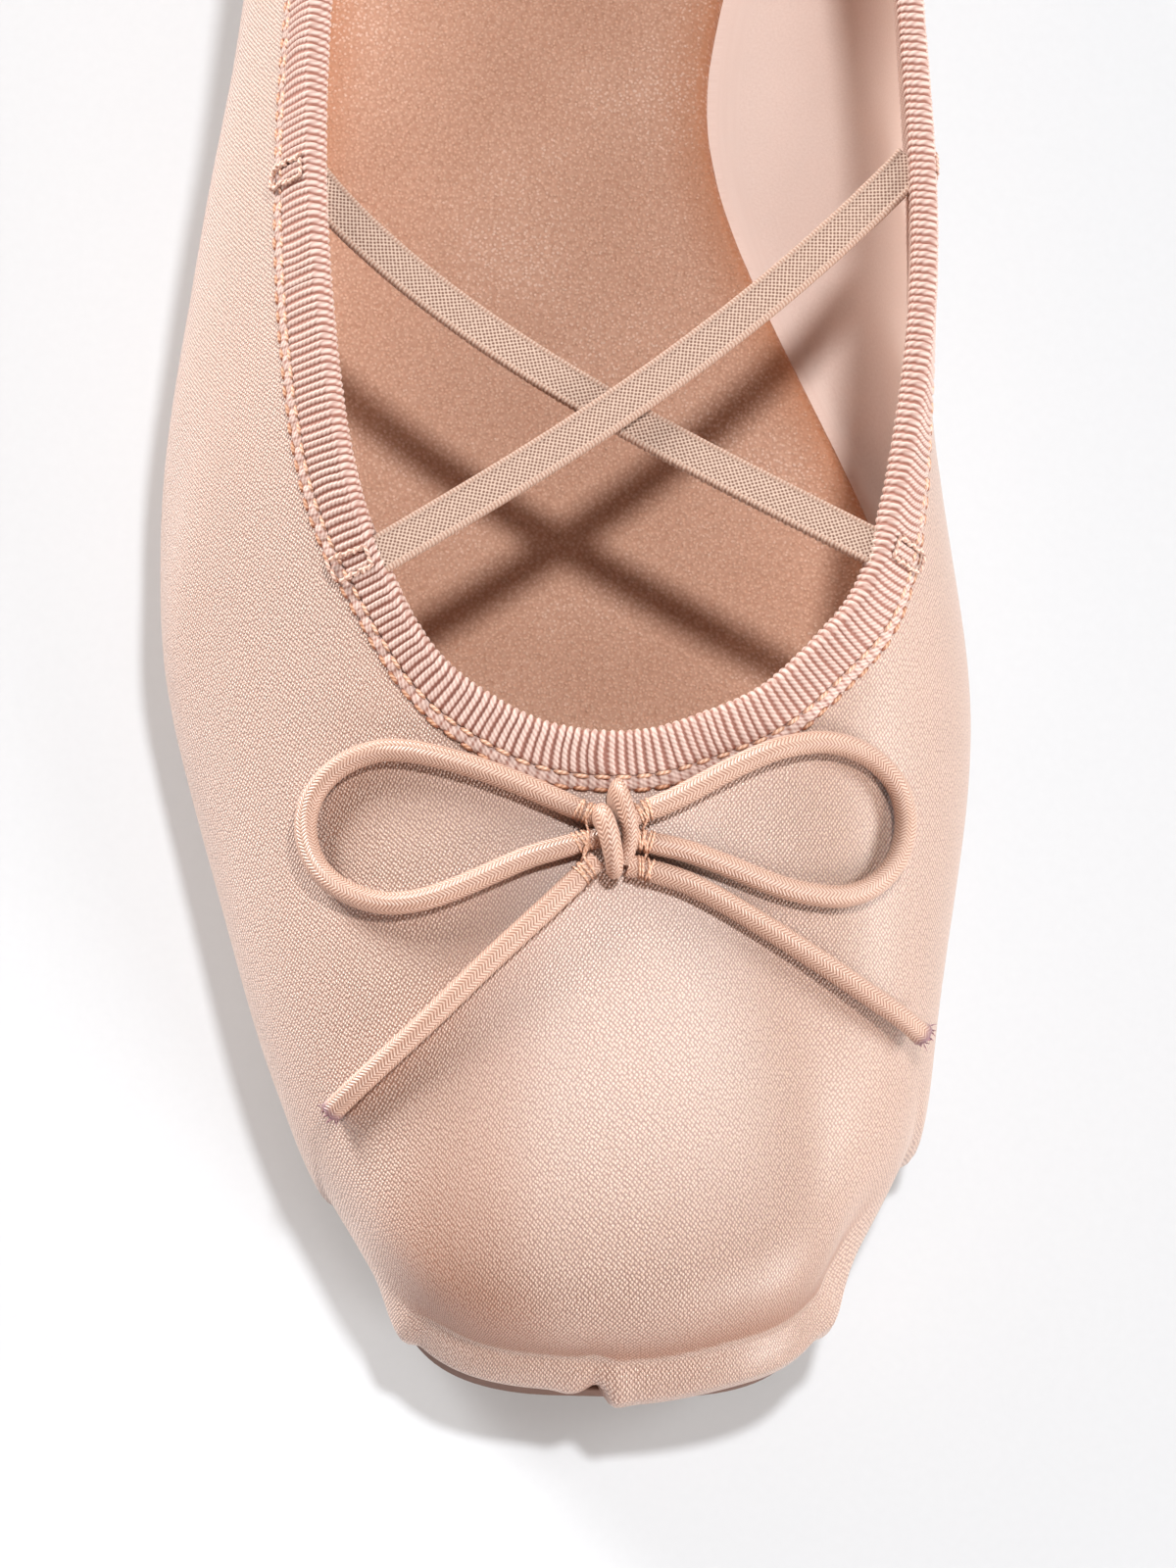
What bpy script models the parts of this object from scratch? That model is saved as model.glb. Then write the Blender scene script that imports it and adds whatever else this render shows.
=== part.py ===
"""Ballet flat, right shoe, built piece by piece as its maker puts it together.

The toe points to -Y and the inner (medial) side of the foot to +X. The shoe stands on
the floor, z = 0, and the middle of the heel's flat underside is the origin. Sizes and
tables are in millimetres and meshes are made in metres.

The upper's wall is worked out as sections round the shoe: each runs from the feather
line, where the upper meets the sole, over the wall to the topline.
"""

import math
from collections import namedtuple

import bmesh
import bpy
import numpy as np
from mathutils import Vector
from mathutils.bvhtree import BVHTree

MM = 0.001

# Driving dimensions of the last and its sole
LENGTH = 248.0
BALL_WIDTH = 89.0
HEEL_BEHIND = 30.0      # how far the heel's back reaches behind the origin
TOE_Y = HEEL_BEHIND - LENGTH
TOE_SPRING = 6.5
SOLE = 3.0
HEEL_LIFT = 6.5
THROAT_HEIGHT = 38.5
SIDE_HEIGHT = 41.0
BACK_HEIGHT = 57.0

# Where along the shoe, from the toe, the bottom and the topline change height
TOE_ROLL_END = 56.0
ARCH_START = 108.0
ARCH_END = 172.0
THROAT_AT = 64.0
SIDES_FROM = 112.0
RISE_FROM = 152.0
BREAST_AT = 182.0

# Materials' thicknesses
WALL = 1.3
MARGIN = 9.0
SOCK = 2.4
RIBBON = 0.5
RIBBON_OUTSIDE = 5.2
RIBBON_INSIDE = 5.0
GAP = 0.3
SLACK = 0.2             # what the facets of two surfaces may take from the gap

# The wall's section: how it swells over the feather line and meets the topline
SWELL = 2.4
SHOULDER_BASE = 0.9
SHOULDER_GAIN = 0.075
CROWN_DROP = 8.0
CROWN_REACH = 0.5
BELLY_SHARE = 0.18

# Where each solid is sampled
TOE_STEP = 1.9
SIDE_STEP = 8.8
TOE_ARC = 46.0
SIDE_ARC = 165.0
WALL_STEPS = 9
LINING_STEPS = 5

STRAP_WIDTH = 4.2
STRAP_THICKNESS = 1.4
CORD = 2.5
WRAP = 3.4

# Sections round the last. across and top_across are shares of BALL_WIDTH from the throat's
# middle, along and top_along are shares of LENGTH from the toe, tuck is how far the feather
# line lies inside the outline, and crest the shoulder's share of the wall's height.
Section = namedtuple("Section", "name across along tuck crest top_across top_along")
SECTIONS = (
    Section("toe_tip", 0.000, 0.000, 2.2, 0.84, 0.000, 0.269),
    Section("corner_lateral", -0.228, 0.018, 2.2, 0.84, -0.111, 0.273),
    Section("toe_side_lateral", -0.296, 0.056, 2.4, 0.82, -0.168, 0.283),
    Section("little_toe", -0.370, 0.103, 2.8, 0.76, -0.226, 0.298),
    Section("forepart_lateral", -0.478, 0.218, 3.0, 0.60, -0.309, 0.345),
    Section("ball_lateral", -0.570, 0.379, 3.0, 0.44, -0.371, 0.416),
    Section("waist_front_lateral", -0.553, 0.484, 5.0, 0.48, -0.397, 0.500),
    Section("waist_lateral", -0.503, 0.597, 7.0, 0.46, -0.401, 0.597),
    Section("heel_front_lateral", -0.450, 0.742, 4.5, 0.48, -0.368, 0.742),
    Section("heel_lateral", -0.363, 0.875, 3.0, 0.50, -0.298, 0.867),
    Section("heel_corner_lateral", -0.236, 0.964, 3.0, 0.50, -0.195, 0.944),
    Section("heel_back", -0.017, 1.000, 3.5, 0.50, -0.017, 0.977),
    Section("heel_corner_medial", 0.202, 0.964, 3.0, 0.50, 0.160, 0.944),
    Section("heel_medial", 0.320, 0.875, 4.5, 0.50, 0.263, 0.867),
    Section("heel_front_medial", 0.356, 0.742, 12.0, 0.50, 0.334, 0.742),
    Section("waist_medial", 0.372, 0.597, 18.5, 0.52, 0.368, 0.597),
    Section("waist_front_medial", 0.382, 0.484, 7.2, 0.52, 0.375, 0.492),
    Section("ball_medial", 0.455, 0.339, 2.4, 0.52, 0.320, 0.364),
    Section("forepart_medial", 0.418, 0.202, 3.0, 0.62, 0.247, 0.319),
    Section("big_toe", 0.348, 0.097, 2.8, 0.78, 0.160, 0.290),
    Section("toe_side_medial", 0.293, 0.058, 2.4, 0.82, 0.116, 0.282),
    Section("corner_medial", 0.242, 0.022, 2.2, 0.84, 0.075, 0.276),
)

# Folds gathered in at the toe. at is the distance round the outline from the toe's tip, to
# the medial side; swell and height are the fold's size; front and rear are its widths on the
# toe's side and on the heel's; lean is its slant.
Fold = namedtuple("Fold", "name at swell front rear height lean")
FOLDS = (
    Fold("side_lateral", -42.0, 1.8, 2.5, 9.0, 14.0, -0.2),
    Fold("corner_lateral", -23.5, 1.8, 2.5, 7.0, 15.0, 0.0),
    Fold("centre", 0.5, 2.4, 6.0, 6.0, 18.0, 0.2),
    Fold("corner_medial", 25.5, 1.8, 2.5, 7.0, 15.0, 0.0),
    Fold("side_medial", 46.0, 2.2, 2.5, 9.0, 14.0, 0.2),
)

# Elastic straps, from the rear to the front end: across, along and height. Their middle is
# drawn to the toe, most of all near the rear end, and hangs to middle_height.
Strap = namedtuple("Strap", "name rear front middle_height draw skew")
STRAPS = (
    Strap("strap_under", (-36.5, 133.5, 39.6), (28.9, 88.6, 39.4), 37.2, 4.6, 0.65),
    Strap("strap_over", (32.6, 137.0, 40.0), (-30.0, 85.2, 39.6), 39.3, 3.9, 0.8),
)

# The bow's cords: places across and along from the knot's middle, the points laid between
# each two places, and how far the cut tip springs up
BOW_AT = (-1.7, 55.9)
Cord = namedtuple("Cord", "name between tip_rise route")
CORDS = (
    Cord("bow_loop_lateral", 1, 0.0, (
        (-2.9, 2.1), (-7.3, 4.0), (-13.5, 6.5), (-19.9, 8.5), (-25.3, 9.3), (-29.9, 7.9),
        (-32.6, 4.9), (-33.1, 1.1), (-31.6, -2.9), (-28.4, -5.8), (-24.3, -7.3),
        (-19.6, -6.9), (-14.4, -5.0), (-9.1, -2.7), (-3.0, -0.9),
    )),
    Cord("bow_loop_medial", 1, 0.0, (
        (2.9, 2.3), (7.0, 4.2), (12.2, 7.2), (17.6, 9.9), (23.1, 11.4), (28.1, 10.8),
        (31.6, 8.2), (32.7, 4.2), (31.5, -0.3), (28.4, -3.8), (24.3, -5.3),
        (18.8, -4.9), (13.4, -3.3), (7.9, -1.6), (3.0, -0.7),
    )),
    Cord("bow_tail_lateral", 1, 0.0, (
        (-2.9, -4.0), (-6.9, -8.0), (-13.2, -14.0), (-19.4, -20.0), (-25.0, -24.8),
        (-29.6, -28.3),
    )),
    Cord("bow_tail_medial", 1, 2.0, (
        (3.1, -3.7), (8.2, -5.1), (14.5, -8.2), (22.0, -12.2), (28.9, -15.8), (34.9, -18.4),
    )),
)
KNOT_LENGTH = 8.6
KNOT_RISE = 3.0

Finish = namedtuple("Finish", "name color roughness metallic")
SATIN = Finish("satin", (0.79, 0.61, 0.52), 0.38, 0.0)
GROSGRAIN = Finish("grosgrain", (0.66, 0.46, 0.38), 0.65, 0.0)
ELASTIC = Finish("elastic", (0.58, 0.40, 0.28), 0.75, 0.0)
CORD_FINISH = Finish("cord", (0.72, 0.50, 0.40), 0.55, 0.0)
SOCK_LEATHER = Finish("sock_leather", (0.55, 0.29, 0.19), 0.45, 0.0)
SOLE_RUBBER = Finish("sole_rubber", (0.16, 0.09, 0.06), 0.6, 0.0)


# The last -------------------------------------------------------------------------

def smooth(share):
    """0 to 1 with level ends."""
    share = np.clip(share, 0.0, 1.0)
    return share * share * (3 - 2 * share)


def closed_spline(knots, period, values):
    """The smooth closed curve through the values at the knots, as a function."""
    count = len(knots)
    step = np.diff(np.append(knots, knots[0] + period))
    rise = np.roll(values, -1, axis=0) - values
    system = np.zeros((count, count))
    bends = np.zeros_like(values)
    for i in range(count):
        before = step[i - 1]
        system[i, i - 1] = before
        system[i, i] = 2 * (before + step[i])
        system[i, (i + 1) % count] = step[i]
        bends[i] = 6 * (rise[i] / step[i] - rise[i - 1] / before)
    second = np.linalg.solve(system, bends)

    def curve(u):
        u = np.mod(np.asarray(u, float), period)
        i = np.searchsorted(knots, u, side="right") - 1
        j = (i + 1) % count
        h = step[i][..., None]
        a = (u - knots[i])[..., None] / h
        b = 1 - a
        bend = (b ** 3 - b) * second[i] + (a ** 3 - a) * second[j]
        return b * values[i] + a * values[j] + bend * h * h / 6

    return curve


def plan_of(across, along):
    """x and y of a place given across the last and back from the toe."""
    return np.stack([np.asarray(across), TOE_Y + np.asarray(along)], axis=-1)


def sole_bottom(along):
    """Height of the outsole's underside: toe spring, flat forepart, arch, heel seat."""
    toe = TOE_SPRING * np.clip(1 - along / TOE_ROLL_END, 0, 1) ** 2
    arch = HEEL_LIFT * smooth((along - ARCH_START) / (ARCH_END - ARCH_START))
    return toe + arch


def feather_height(along):
    """Height of the upper's underside, on the outsole."""
    return sole_bottom(along) + SOLE + GAP + SLACK


def topline_height(along):
    """Height of the upper's top edge: throat, sides, and the rise to the heel's back."""
    side = (SIDE_HEIGHT - THROAT_HEIGHT) * smooth((along - THROAT_AT) / (SIDES_FROM - THROAT_AT))
    back = (BACK_HEIGHT - SIDE_HEIGHT) * smooth((along - RISE_FROM) / (LENGTH - RISE_FROM))
    return THROAT_HEIGHT + side + back


def ring_curves():
    """The sections' columns as smooth functions of the distance round the outline."""
    rows = np.array([row[1:] for row in SECTIONS])
    outline = rows[:, :2] * (BALL_WIDTH, LENGTH)
    topline = rows[:, 4:] * (BALL_WIDTH, LENGTH)
    chords = np.linalg.norm(np.roll(outline, -1, axis=0) - outline, axis=1)
    knots = np.concatenate([[0], np.cumsum(chords)[:-1]])
    columns = np.column_stack([outline, rows[:, 2:4], topline])
    return closed_spline(knots, chords.sum(), columns), chords.sum()


RING, AROUND = ring_curves()


def ring_stations():
    """Distances round the outline, towards the lateral side, close together at the toe."""
    u = np.linspace(-AROUND / 2, AROUND / 2, 1201)
    share = (np.abs(u) - TOE_ARC) / (SIDE_ARC - TOE_ARC)
    step = TOE_STEP + (SIDE_STEP - TOE_STEP) * np.clip(share, 0, 1)
    passed = np.concatenate([[0], np.cumsum((1 / step[1:] + 1 / step[:-1]) / 2 * np.diff(u))])
    count = round(passed[-1])
    return np.interp(np.arange(count) / count * passed[-1], passed, u)


def outline_and_normal(u):
    """Plan of the outline at u, and its outward direction."""
    small = 0.5
    here = RING(u)[..., :2]
    ahead = RING(u + small)[..., :2] - RING(u - small)[..., :2]
    ahead /= np.linalg.norm(ahead, axis=-1, keepdims=True)
    outward = np.stack([ahead[..., 1], -ahead[..., 0]], axis=-1)
    return here, -outward


def plan_ring(u, inset):
    """A closed plan line, inset from the feather line: across and along."""
    here, outward = outline_and_normal(u)
    tuck = RING(u)[..., 2:3]
    return here - outward * (tuck + inset)


def with_height(plan, height):
    """3D points from across, along and a height."""
    flat = plan_of(plan[..., 0], plan[..., 1])
    return np.concatenate([flat, np.broadcast_to(height, plan.shape[:-1])[..., None]], axis=-1)


def fold_swell(u, above):
    """How far the gathered folds lift the satin at u, at a height above the feather line."""
    around = -(np.mod(u + AROUND / 2, AROUND) - AROUND / 2)
    swell = np.zeros(np.broadcast(around, above).shape)
    for fold in FOLDS:
        off = (around - fold.at - fold.lean * above) * (1 if fold.at > 0 else -1)
        off = off / np.where(off > 0, fold.rear, fold.front)
        ridge = np.cos(np.clip(off, -1, 1) * math.pi / 2) ** 2
        fade = np.clip(1 - above / fold.height, 0, 1) ** 1.5 * smooth((above + 0.6) / 1.6)
        swell += fold.swell * ridge * fade
    return swell


def wall_controls(u):
    """The five control points of the wall's section at each u, from feather to topline."""
    row = RING(u)
    here, outward = outline_and_normal(u)
    tuck, crest = row[..., 2:3], row[..., 3]
    top = row[..., 4:]
    feather = here - outward * tuck
    low = feather_height(feather[..., 1])
    high = topline_height(top[..., 1])
    inset = np.linalg.norm(top - here, axis=-1, keepdims=True)
    shoulder = here + outward * (SHOULDER_BASE + SHOULDER_GAIN * inset)
    belly = here + outward * SWELL
    crown = top + (here - top) * CROWN_REACH
    height = crest * (high - low)
    return [
        with_height(feather, low),
        with_height(belly, low + BELLY_SHARE * height),
        with_height(shoulder, low + height),
        with_height(crown, high - CROWN_DROP),
        with_height(top, high),
    ]


def wall(u, t):
    """Points of the smooth outer wall: t runs from 0 at the feather line to 1 at the topline."""
    t = np.asarray(t, float)[..., None]
    weights = [math.comb(4, k) * t ** k * (1 - t) ** (4 - k) for k in range(5)]
    return sum(w * p for w, p in zip(weights, wall_controls(u)))


def wall_normal(u, t):
    """Outward normals of the smooth outer wall."""
    du, dt = 0.5, 0.002
    around = wall(u + du, t) - wall(u - du, t)
    up = wall(u, np.minimum(t + dt, 1)) - wall(u, np.maximum(t - dt, 0))
    normal = np.cross(up, around)
    return normal / np.linalg.norm(normal, axis=-1, keepdims=True)


def topline(u):
    """The topline's points, the wall's outward normals there, and the way up the wall."""
    top = wall(u, np.ones_like(u))
    up = top - wall(u, np.full_like(u, 0.98))
    return top, wall_normal(u, np.ones_like(u)), up / np.linalg.norm(up, axis=1, keepdims=True)


def below_topline(u, distance):
    """t at a distance down the wall from the topline, for each u."""
    t = np.linspace(1, 0.5, 41)
    run = wall(u[:, None], t[None, :])
    steps = np.linalg.norm(np.diff(run, axis=1), axis=2)
    down = np.concatenate([np.zeros((len(u), 1)), np.cumsum(steps, axis=1)], axis=1)
    return np.array([np.interp(distance, row, t) for row in down])


# Making meshes --------------------------------------------------------------------

def add_object(name, mesh, collection, finish):
    """Links a new object for the mesh, with its material."""
    obj = bpy.data.objects.new(name, mesh)
    collection.objects.link(obj)
    if finish:
        mesh.materials.append(material(finish))
    return obj


def material(finish):
    """The Principled material of a finish, made once."""
    made = bpy.data.materials.get(finish.name)
    if made is None:
        made = bpy.data.materials.new(finish.name)
        made.use_nodes = True
        shader = made.node_tree.nodes["Principled BSDF"]
        shader.inputs["Base Color"].default_value = (*finish.color, 1)
        shader.inputs["Roughness"].default_value = finish.roughness
        shader.inputs["Metallic"].default_value = finish.metallic
    return made


def shade(mesh, sharp_degrees=40):
    mesh.shade_smooth()
    mesh.set_sharp_from_angle(angle=math.radians(sharp_degrees))


def ring_loft(name, sections, collection, finish):
    """A closed band: each section is a closed outline, and the last joins the first."""
    rows, around = sections.shape[:2]
    mesh = bpy.data.meshes.new(name)
    build = bmesh.new()
    verts = [[build.verts.new(Vector(point) * MM) for point in row] for row in sections]
    for i in range(rows):
        this, after = verts[i], verts[(i + 1) % rows]
        for j in range(around):
            k = (j + 1) % around
            build.faces.new((this[j], after[j], after[k], this[k]))
    bmesh.ops.recalc_face_normals(build, faces=build.faces)
    build.to_mesh(mesh)
    build.free()
    shade(mesh)
    return add_object(name, mesh, collection, finish)


def plate(name, outline, thickness, bottom_of, collection, finish, keep_behind=None):
    """A sole-shaped plate: a flat outline cut across into strips, given its thickness, then
    raised so that its underside follows bottom_of(along)."""
    strip = 8.0
    mesh = bpy.data.meshes.new(name)
    build = bmesh.new()
    flat = plan_of(outline[:, 0], outline[:, 1])
    build.faces.new([build.verts.new((x * MM, y * MM, 0)) for x, y in flat])
    for station in np.arange(flat[:, 1].min() + strip / 2, flat[:, 1].max(), strip):
        geometry = build.verts[:] + build.edges[:] + build.faces[:]
        bmesh.ops.bisect_plane(
            build, geom=geometry, plane_co=(0, station * MM, 0), plane_no=(0, 1, 0))
    if keep_behind is not None:
        breast = (TOE_Y + keep_behind) * MM
        geometry = build.verts[:] + build.edges[:] + build.faces[:]
        bmesh.ops.bisect_plane(
            build, geom=geometry, plane_co=(0, breast, 0), plane_no=(0, 1, 0), clear_inner=True)
    raised = bmesh.ops.extrude_face_region(build, geom=build.faces[:])
    top = {v for v in raised["geom"] if isinstance(v, bmesh.types.BMVert)}
    for vert in build.verts:
        along = vert.co.y / MM - TOE_Y
        vert.co.z = (bottom_of(along) + (thickness if vert in top else 0)) * MM
    bmesh.ops.recalc_face_normals(build, faces=build.faces)
    build.to_mesh(mesh)
    build.free()
    shade(mesh)
    return add_object(name, mesh, collection, finish)


def tube(name, points, diameter, collection, finish, resolution=2):
    """A round cord along the points."""
    curve = bpy.data.curves.new(name, "CURVE")
    curve.dimensions = "3D"
    curve.bevel_depth = diameter / 2 * MM
    curve.bevel_resolution = resolution
    curve.use_fill_caps = True
    spline = curve.splines.new("POLY")
    spline.points.add(len(points) - 1)
    for target, point in zip(spline.points, points):
        target.co = (*(Vector(point) * MM), 1)
    return add_object(name, curve, collection, finish)


# The pieces -----------------------------------------------------------------------

def build_upper(collection):
    """The satin upper with its lining: margin turned in, wall, and the topline's cut edge."""
    u = ring_stations()
    _, outward = outline_and_normal(u)
    outer = wall(u[:, None], np.linspace(0, 1, WALL_STEPS + 1)[None, :])
    above = outer[..., 2] - outer[:, :1, 2]
    outer[..., :2] += outward[:, None] * fold_swell(u[:, None], above)[..., None]
    t = np.linspace(1, 0, LINING_STEPS + 1)[None, :-1]
    inner = wall(u[:, None], t) - wall_normal(u[:, None], t) * WALL
    turned = plan_ring(u, MARGIN)
    corner = plan_ring(u, WALL * 0.8)
    low = feather_height(turned[:, 1])
    sections = np.concatenate([
        with_height(turned, low)[:, None],
        outer,
        inner,
        with_height(corner, feather_height(corner[:, 1]) + WALL)[:, None],
        with_height(turned, low + WALL)[:, None],
    ], axis=1)
    return ring_loft("upper", sections, collection, SATIN)


def build_binding(collection):
    """The grosgrain ribbon folded over the topline, clear of the upper all round."""
    u = ring_stations()
    top, edge, up = topline(u)
    near, far = GAP + SLACK, GAP + SLACK + RIBBON

    def leg(distance, offset):
        t = below_topline(u, distance)
        return wall(u, t) + wall_normal(u, t) * offset

    def cap(offset, rise):
        return top + edge * offset + up * rise

    sections = np.stack([
        leg(RIBBON_OUTSIDE, near),
        leg(RIBBON_OUTSIDE, far),
        cap(far, 0.0),
        cap(near / 2, far),
        cap(-WALL - near / 2, far),
        cap(-WALL - far, 0.0),
        leg(RIBBON_INSIDE, -WALL - far),
        leg(RIBBON_INSIDE, -WALL - near),
        cap(-WALL - near, near),
        cap(near, near),
        leg(RIBBON_OUTSIDE / 2, near),
    ], axis=1)
    return ring_loft("binding", sections, collection, GROSGRAIN)


def build_sole(collection):
    """Outsole, heel lift and the sock that lies on the turned-in margin."""
    u = ring_stations()
    edge = plan_ring(u, -0.9)
    plate("outsole", edge, SOLE, sole_bottom, collection, SOLE_RUBBER)
    plate("heel", plan_ring(u, -0.5), HEEL_LIFT - GAP, lambda along: 0.0, collection,
          SOLE_RUBBER, keep_behind=BREAST_AT)
    sock = plan_ring(u, WALL + 1.1)
    plate("insole", sock, SOCK, lambda along: feather_height(along) + WALL + GAP + SLACK,
          collection, SOCK_LEATHER)


def topline_cutter(collection):
    """Stands for the topline and its binding, grown by the gap that a strap's end keeps."""
    u = ring_stations()
    top, edge, up = topline(u)
    skin = RIBBON + 2 * (GAP + SLACK)
    near, far = -WALL - skin, 4.0
    over = np.array([0, 0, 5.0])
    middle, low = below_topline(u, RIBBON_INSIDE), below_topline(u, 2 * RIBBON_INSIDE)
    sections = np.stack([
        wall(u, low) + wall_normal(u, low) * far,
        top + edge * far + over,
        top + edge * near + up * skin + over,
        top + edge * near + up * skin,
        top + edge * near,
        wall(u, middle) + wall_normal(u, middle) * near,
        wall(u, low) + wall_normal(u, low) * near,
    ], axis=1)
    cutter = ring_loft("topline_cutter", sections, collection, None)
    hide(cutter)
    return cutter


def hide(obj):
    obj.hide_render = True
    obj.display_type = "WIRE"


def band_profile(collection):
    """The flat elastic's rounded cross-section."""
    half_width, half_thickness = STRAP_WIDTH / 2 * MM, STRAP_THICKNESS / 2 * MM
    curve = bpy.data.curves.new("band_profile", "CURVE")
    curve.dimensions = "2D"
    spline = curve.splines.new("POLY")
    corner = half_thickness * 0.6
    ring = [
        (half_width, half_thickness - corner), (half_width - corner, half_thickness),
        (-half_width + corner, half_thickness), (-half_width, half_thickness - corner),
        (-half_width, -half_thickness + corner), (-half_width + corner, -half_thickness),
        (half_width - corner, -half_thickness), (half_width, -half_thickness + corner),
    ]
    spline.points.add(len(ring) - 1)
    for target, (x, y) in zip(spline.points, ring):
        target.co = (x, y, 0, 1)
    spline.use_cyclic_u = True
    return add_object("band_profile", curve, collection, None)


def strap_route(strap):
    """Points along a strap: the straight line between its ends, drawn to the toe and down."""
    share = np.linspace(0, 1, 15)
    ends = np.array([strap.rear, strap.front])
    line = ends[0] + share[:, None] * (ends[1] - ends[0])
    hang = np.sin(math.pi * share ** strap.skew)
    line[:, 1] -= strap.draw * hang
    line[:, 2] += (strap.middle_height - ends[:, 2].mean()) * hang
    return with_height(line[:, :2], line[:, 2])


def as_mesh(obj, collection):
    """Replaces a curve object by its mesh, with the caps welded on."""
    graph = bpy.context.evaluated_depsgraph_get()
    name, data = obj.name, obj.data
    mesh = bpy.data.meshes.new_from_object(obj.evaluated_get(graph))
    weld = bmesh.new()
    weld.from_mesh(mesh)
    bmesh.ops.remove_doubles(weld, verts=weld.verts, dist=0.00001)
    bmesh.ops.recalc_face_normals(weld, faces=weld.faces)
    weld.to_mesh(mesh)
    weld.free()
    matrix = obj.matrix_world.copy()
    bpy.data.objects.remove(obj)
    bpy.data.curves.remove(data)
    mesh.name = name
    made = add_object(name, mesh, collection, None)
    made.matrix_world = matrix
    return made


def build_straps(collection, cutters):
    """Two elastic bands that cross in the opening, one over the other."""
    profile = band_profile(cutters)
    hide(profile)
    cutter = topline_cutter(cutters)
    for strap in STRAPS:
        band = tube(strap.name, strap_route(strap), 0, collection, ELASTIC)
        band.data.twist_mode = "Z_UP"
        band.data.bevel_mode = "OBJECT"
        band.data.bevel_object = profile
        band = as_mesh(band, collection)
        cut = band.modifiers.new("ends", "BOOLEAN")
        cut.operation = "DIFFERENCE"
        cut.object = cutter
        shade(band.data)


def resting_height(objects, radius):
    """Finds how high a ball of the radius lies on the objects at a place."""
    graph = bpy.context.evaluated_depsgraph_get()
    trees = [BVHTree.FromObject(obj, graph) for obj in objects]
    turns = np.linspace(0, 2 * math.pi, 8, endpoint=False)
    spread = [(0.0, 0.0)] + [
        (share * radius * math.cos(turn), share * radius * math.sin(turn))
        for share in (0.4, 0.7, 0.95) for turn in turns]

    def height(x, y):
        reached = []
        for dx, dy in spread:
            start = Vector((x + dx, y + dy, 200.0)) * MM
            for tree in trees:
                point = tree.ray_cast(start, Vector((0, 0, -1)))[0]
                if point:
                    reached.append(point.z / MM + math.sqrt(radius ** 2 - dx ** 2 - dy ** 2))
        return max(reached)

    return height


def through(places, between):
    """A smooth line through the places, with points laid between each two of them."""
    places = np.array(places, float)
    before = np.vstack([2 * places[0] - places[1], places, 2 * places[-1] - places[-2]])
    line = []
    for i in range(len(places) - 1):
        a, b, c, d = before[i:i + 4]
        for t in np.arange(between + 1) / (between + 1):
            line.append(0.5 * (2 * b + (c - a) * t + (2 * a - 5 * b + 4 * c - d) * t ** 2
                               + (3 * b - a - 3 * c + d) * t ** 3))
    return np.array(line + [places[-1]])


def laid(route, height_at, tip_rise=0.0):
    """Lays a route on what lies under it, and eases its dips."""
    flat = plan_of(BOW_AT[0] + route[:, 0], BOW_AT[1] + route[:, 1])
    heights = np.array([height_at(x, y) for x, y in flat])
    for _ in range(3):
        mean = (heights[:-2] + heights[2:]) / 2
        heights[1:-1] = np.maximum(heights[1:-1], mean)
    heights += tip_rise * np.linspace(0, 1, len(heights)) ** 4
    return np.column_stack([flat, heights])


def build_bow(collection, under):
    """Round elastic cord: two loops and two tails that meet at a wrapped knot."""
    height_at = resting_height(under, CORD / 2 + GAP + SLACK)
    for cord in CORDS:
        route = laid(through(cord.route, cord.between), height_at, cord.tip_rise)
        tube(cord.name, route, CORD, collection, CORD_FINISH)
    share = np.linspace(0, 1, 11)
    reach = KNOT_LENGTH * (0.5 - share)
    height_at = resting_height(under, WRAP / 2 + GAP / 2)
    route = laid(np.column_stack([np.zeros_like(reach), reach]), height_at)
    route[:, 2] += KNOT_RISE * np.sin(math.pi * share)
    tube("bow_knot", route, WRAP, collection, CORD_FINISH, resolution=3)


def main():
    for obj in list(bpy.data.objects):
        bpy.data.objects.remove(obj)
    shoe = bpy.data.collections.new("ballet_flat")
    cutters = bpy.data.collections.new("cutters")
    bpy.context.scene.collection.children.link(shoe)
    bpy.context.scene.collection.children.link(cutters)
    upper = build_upper(shoe)
    binding = build_binding(shoe)
    build_sole(shoe)
    build_straps(shoe, cutters)
    build_bow(shoe, [upper, binding])


main()
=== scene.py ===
"""The dressed ballet flat, right shoe: satin upper, lining, ribbon, straps, sock and bow.

Sizes and tables are in millimetres, in the solids' own frame: the toe points to -Y, the
inner (medial) side of the foot to +X, and the shoe stands on z = 0. Meshes are made in
metres. The last's sections and the routes of straps and cords repeat the solids' own.
"""
import logging  # noqa: E402
import math  # noqa: E402
from collections.abc import Callable, Sequence  # noqa: E402
from dataclasses import dataclass, field  # noqa: E402
from enum import Enum  # noqa: E402
from typing import NamedTuple  # noqa: E402

import bmesh  # noqa: E402
import bpy  # noqa: E402
import numpy as np  # noqa: E402
from bpy.types import ID, Mesh, Node, NodeSocket, NodeTree, Object  # noqa: E402
from mathutils import Matrix, Vector  # noqa: E402
from mathutils.bvhtree import BVHTree  # noqa: E402


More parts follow.
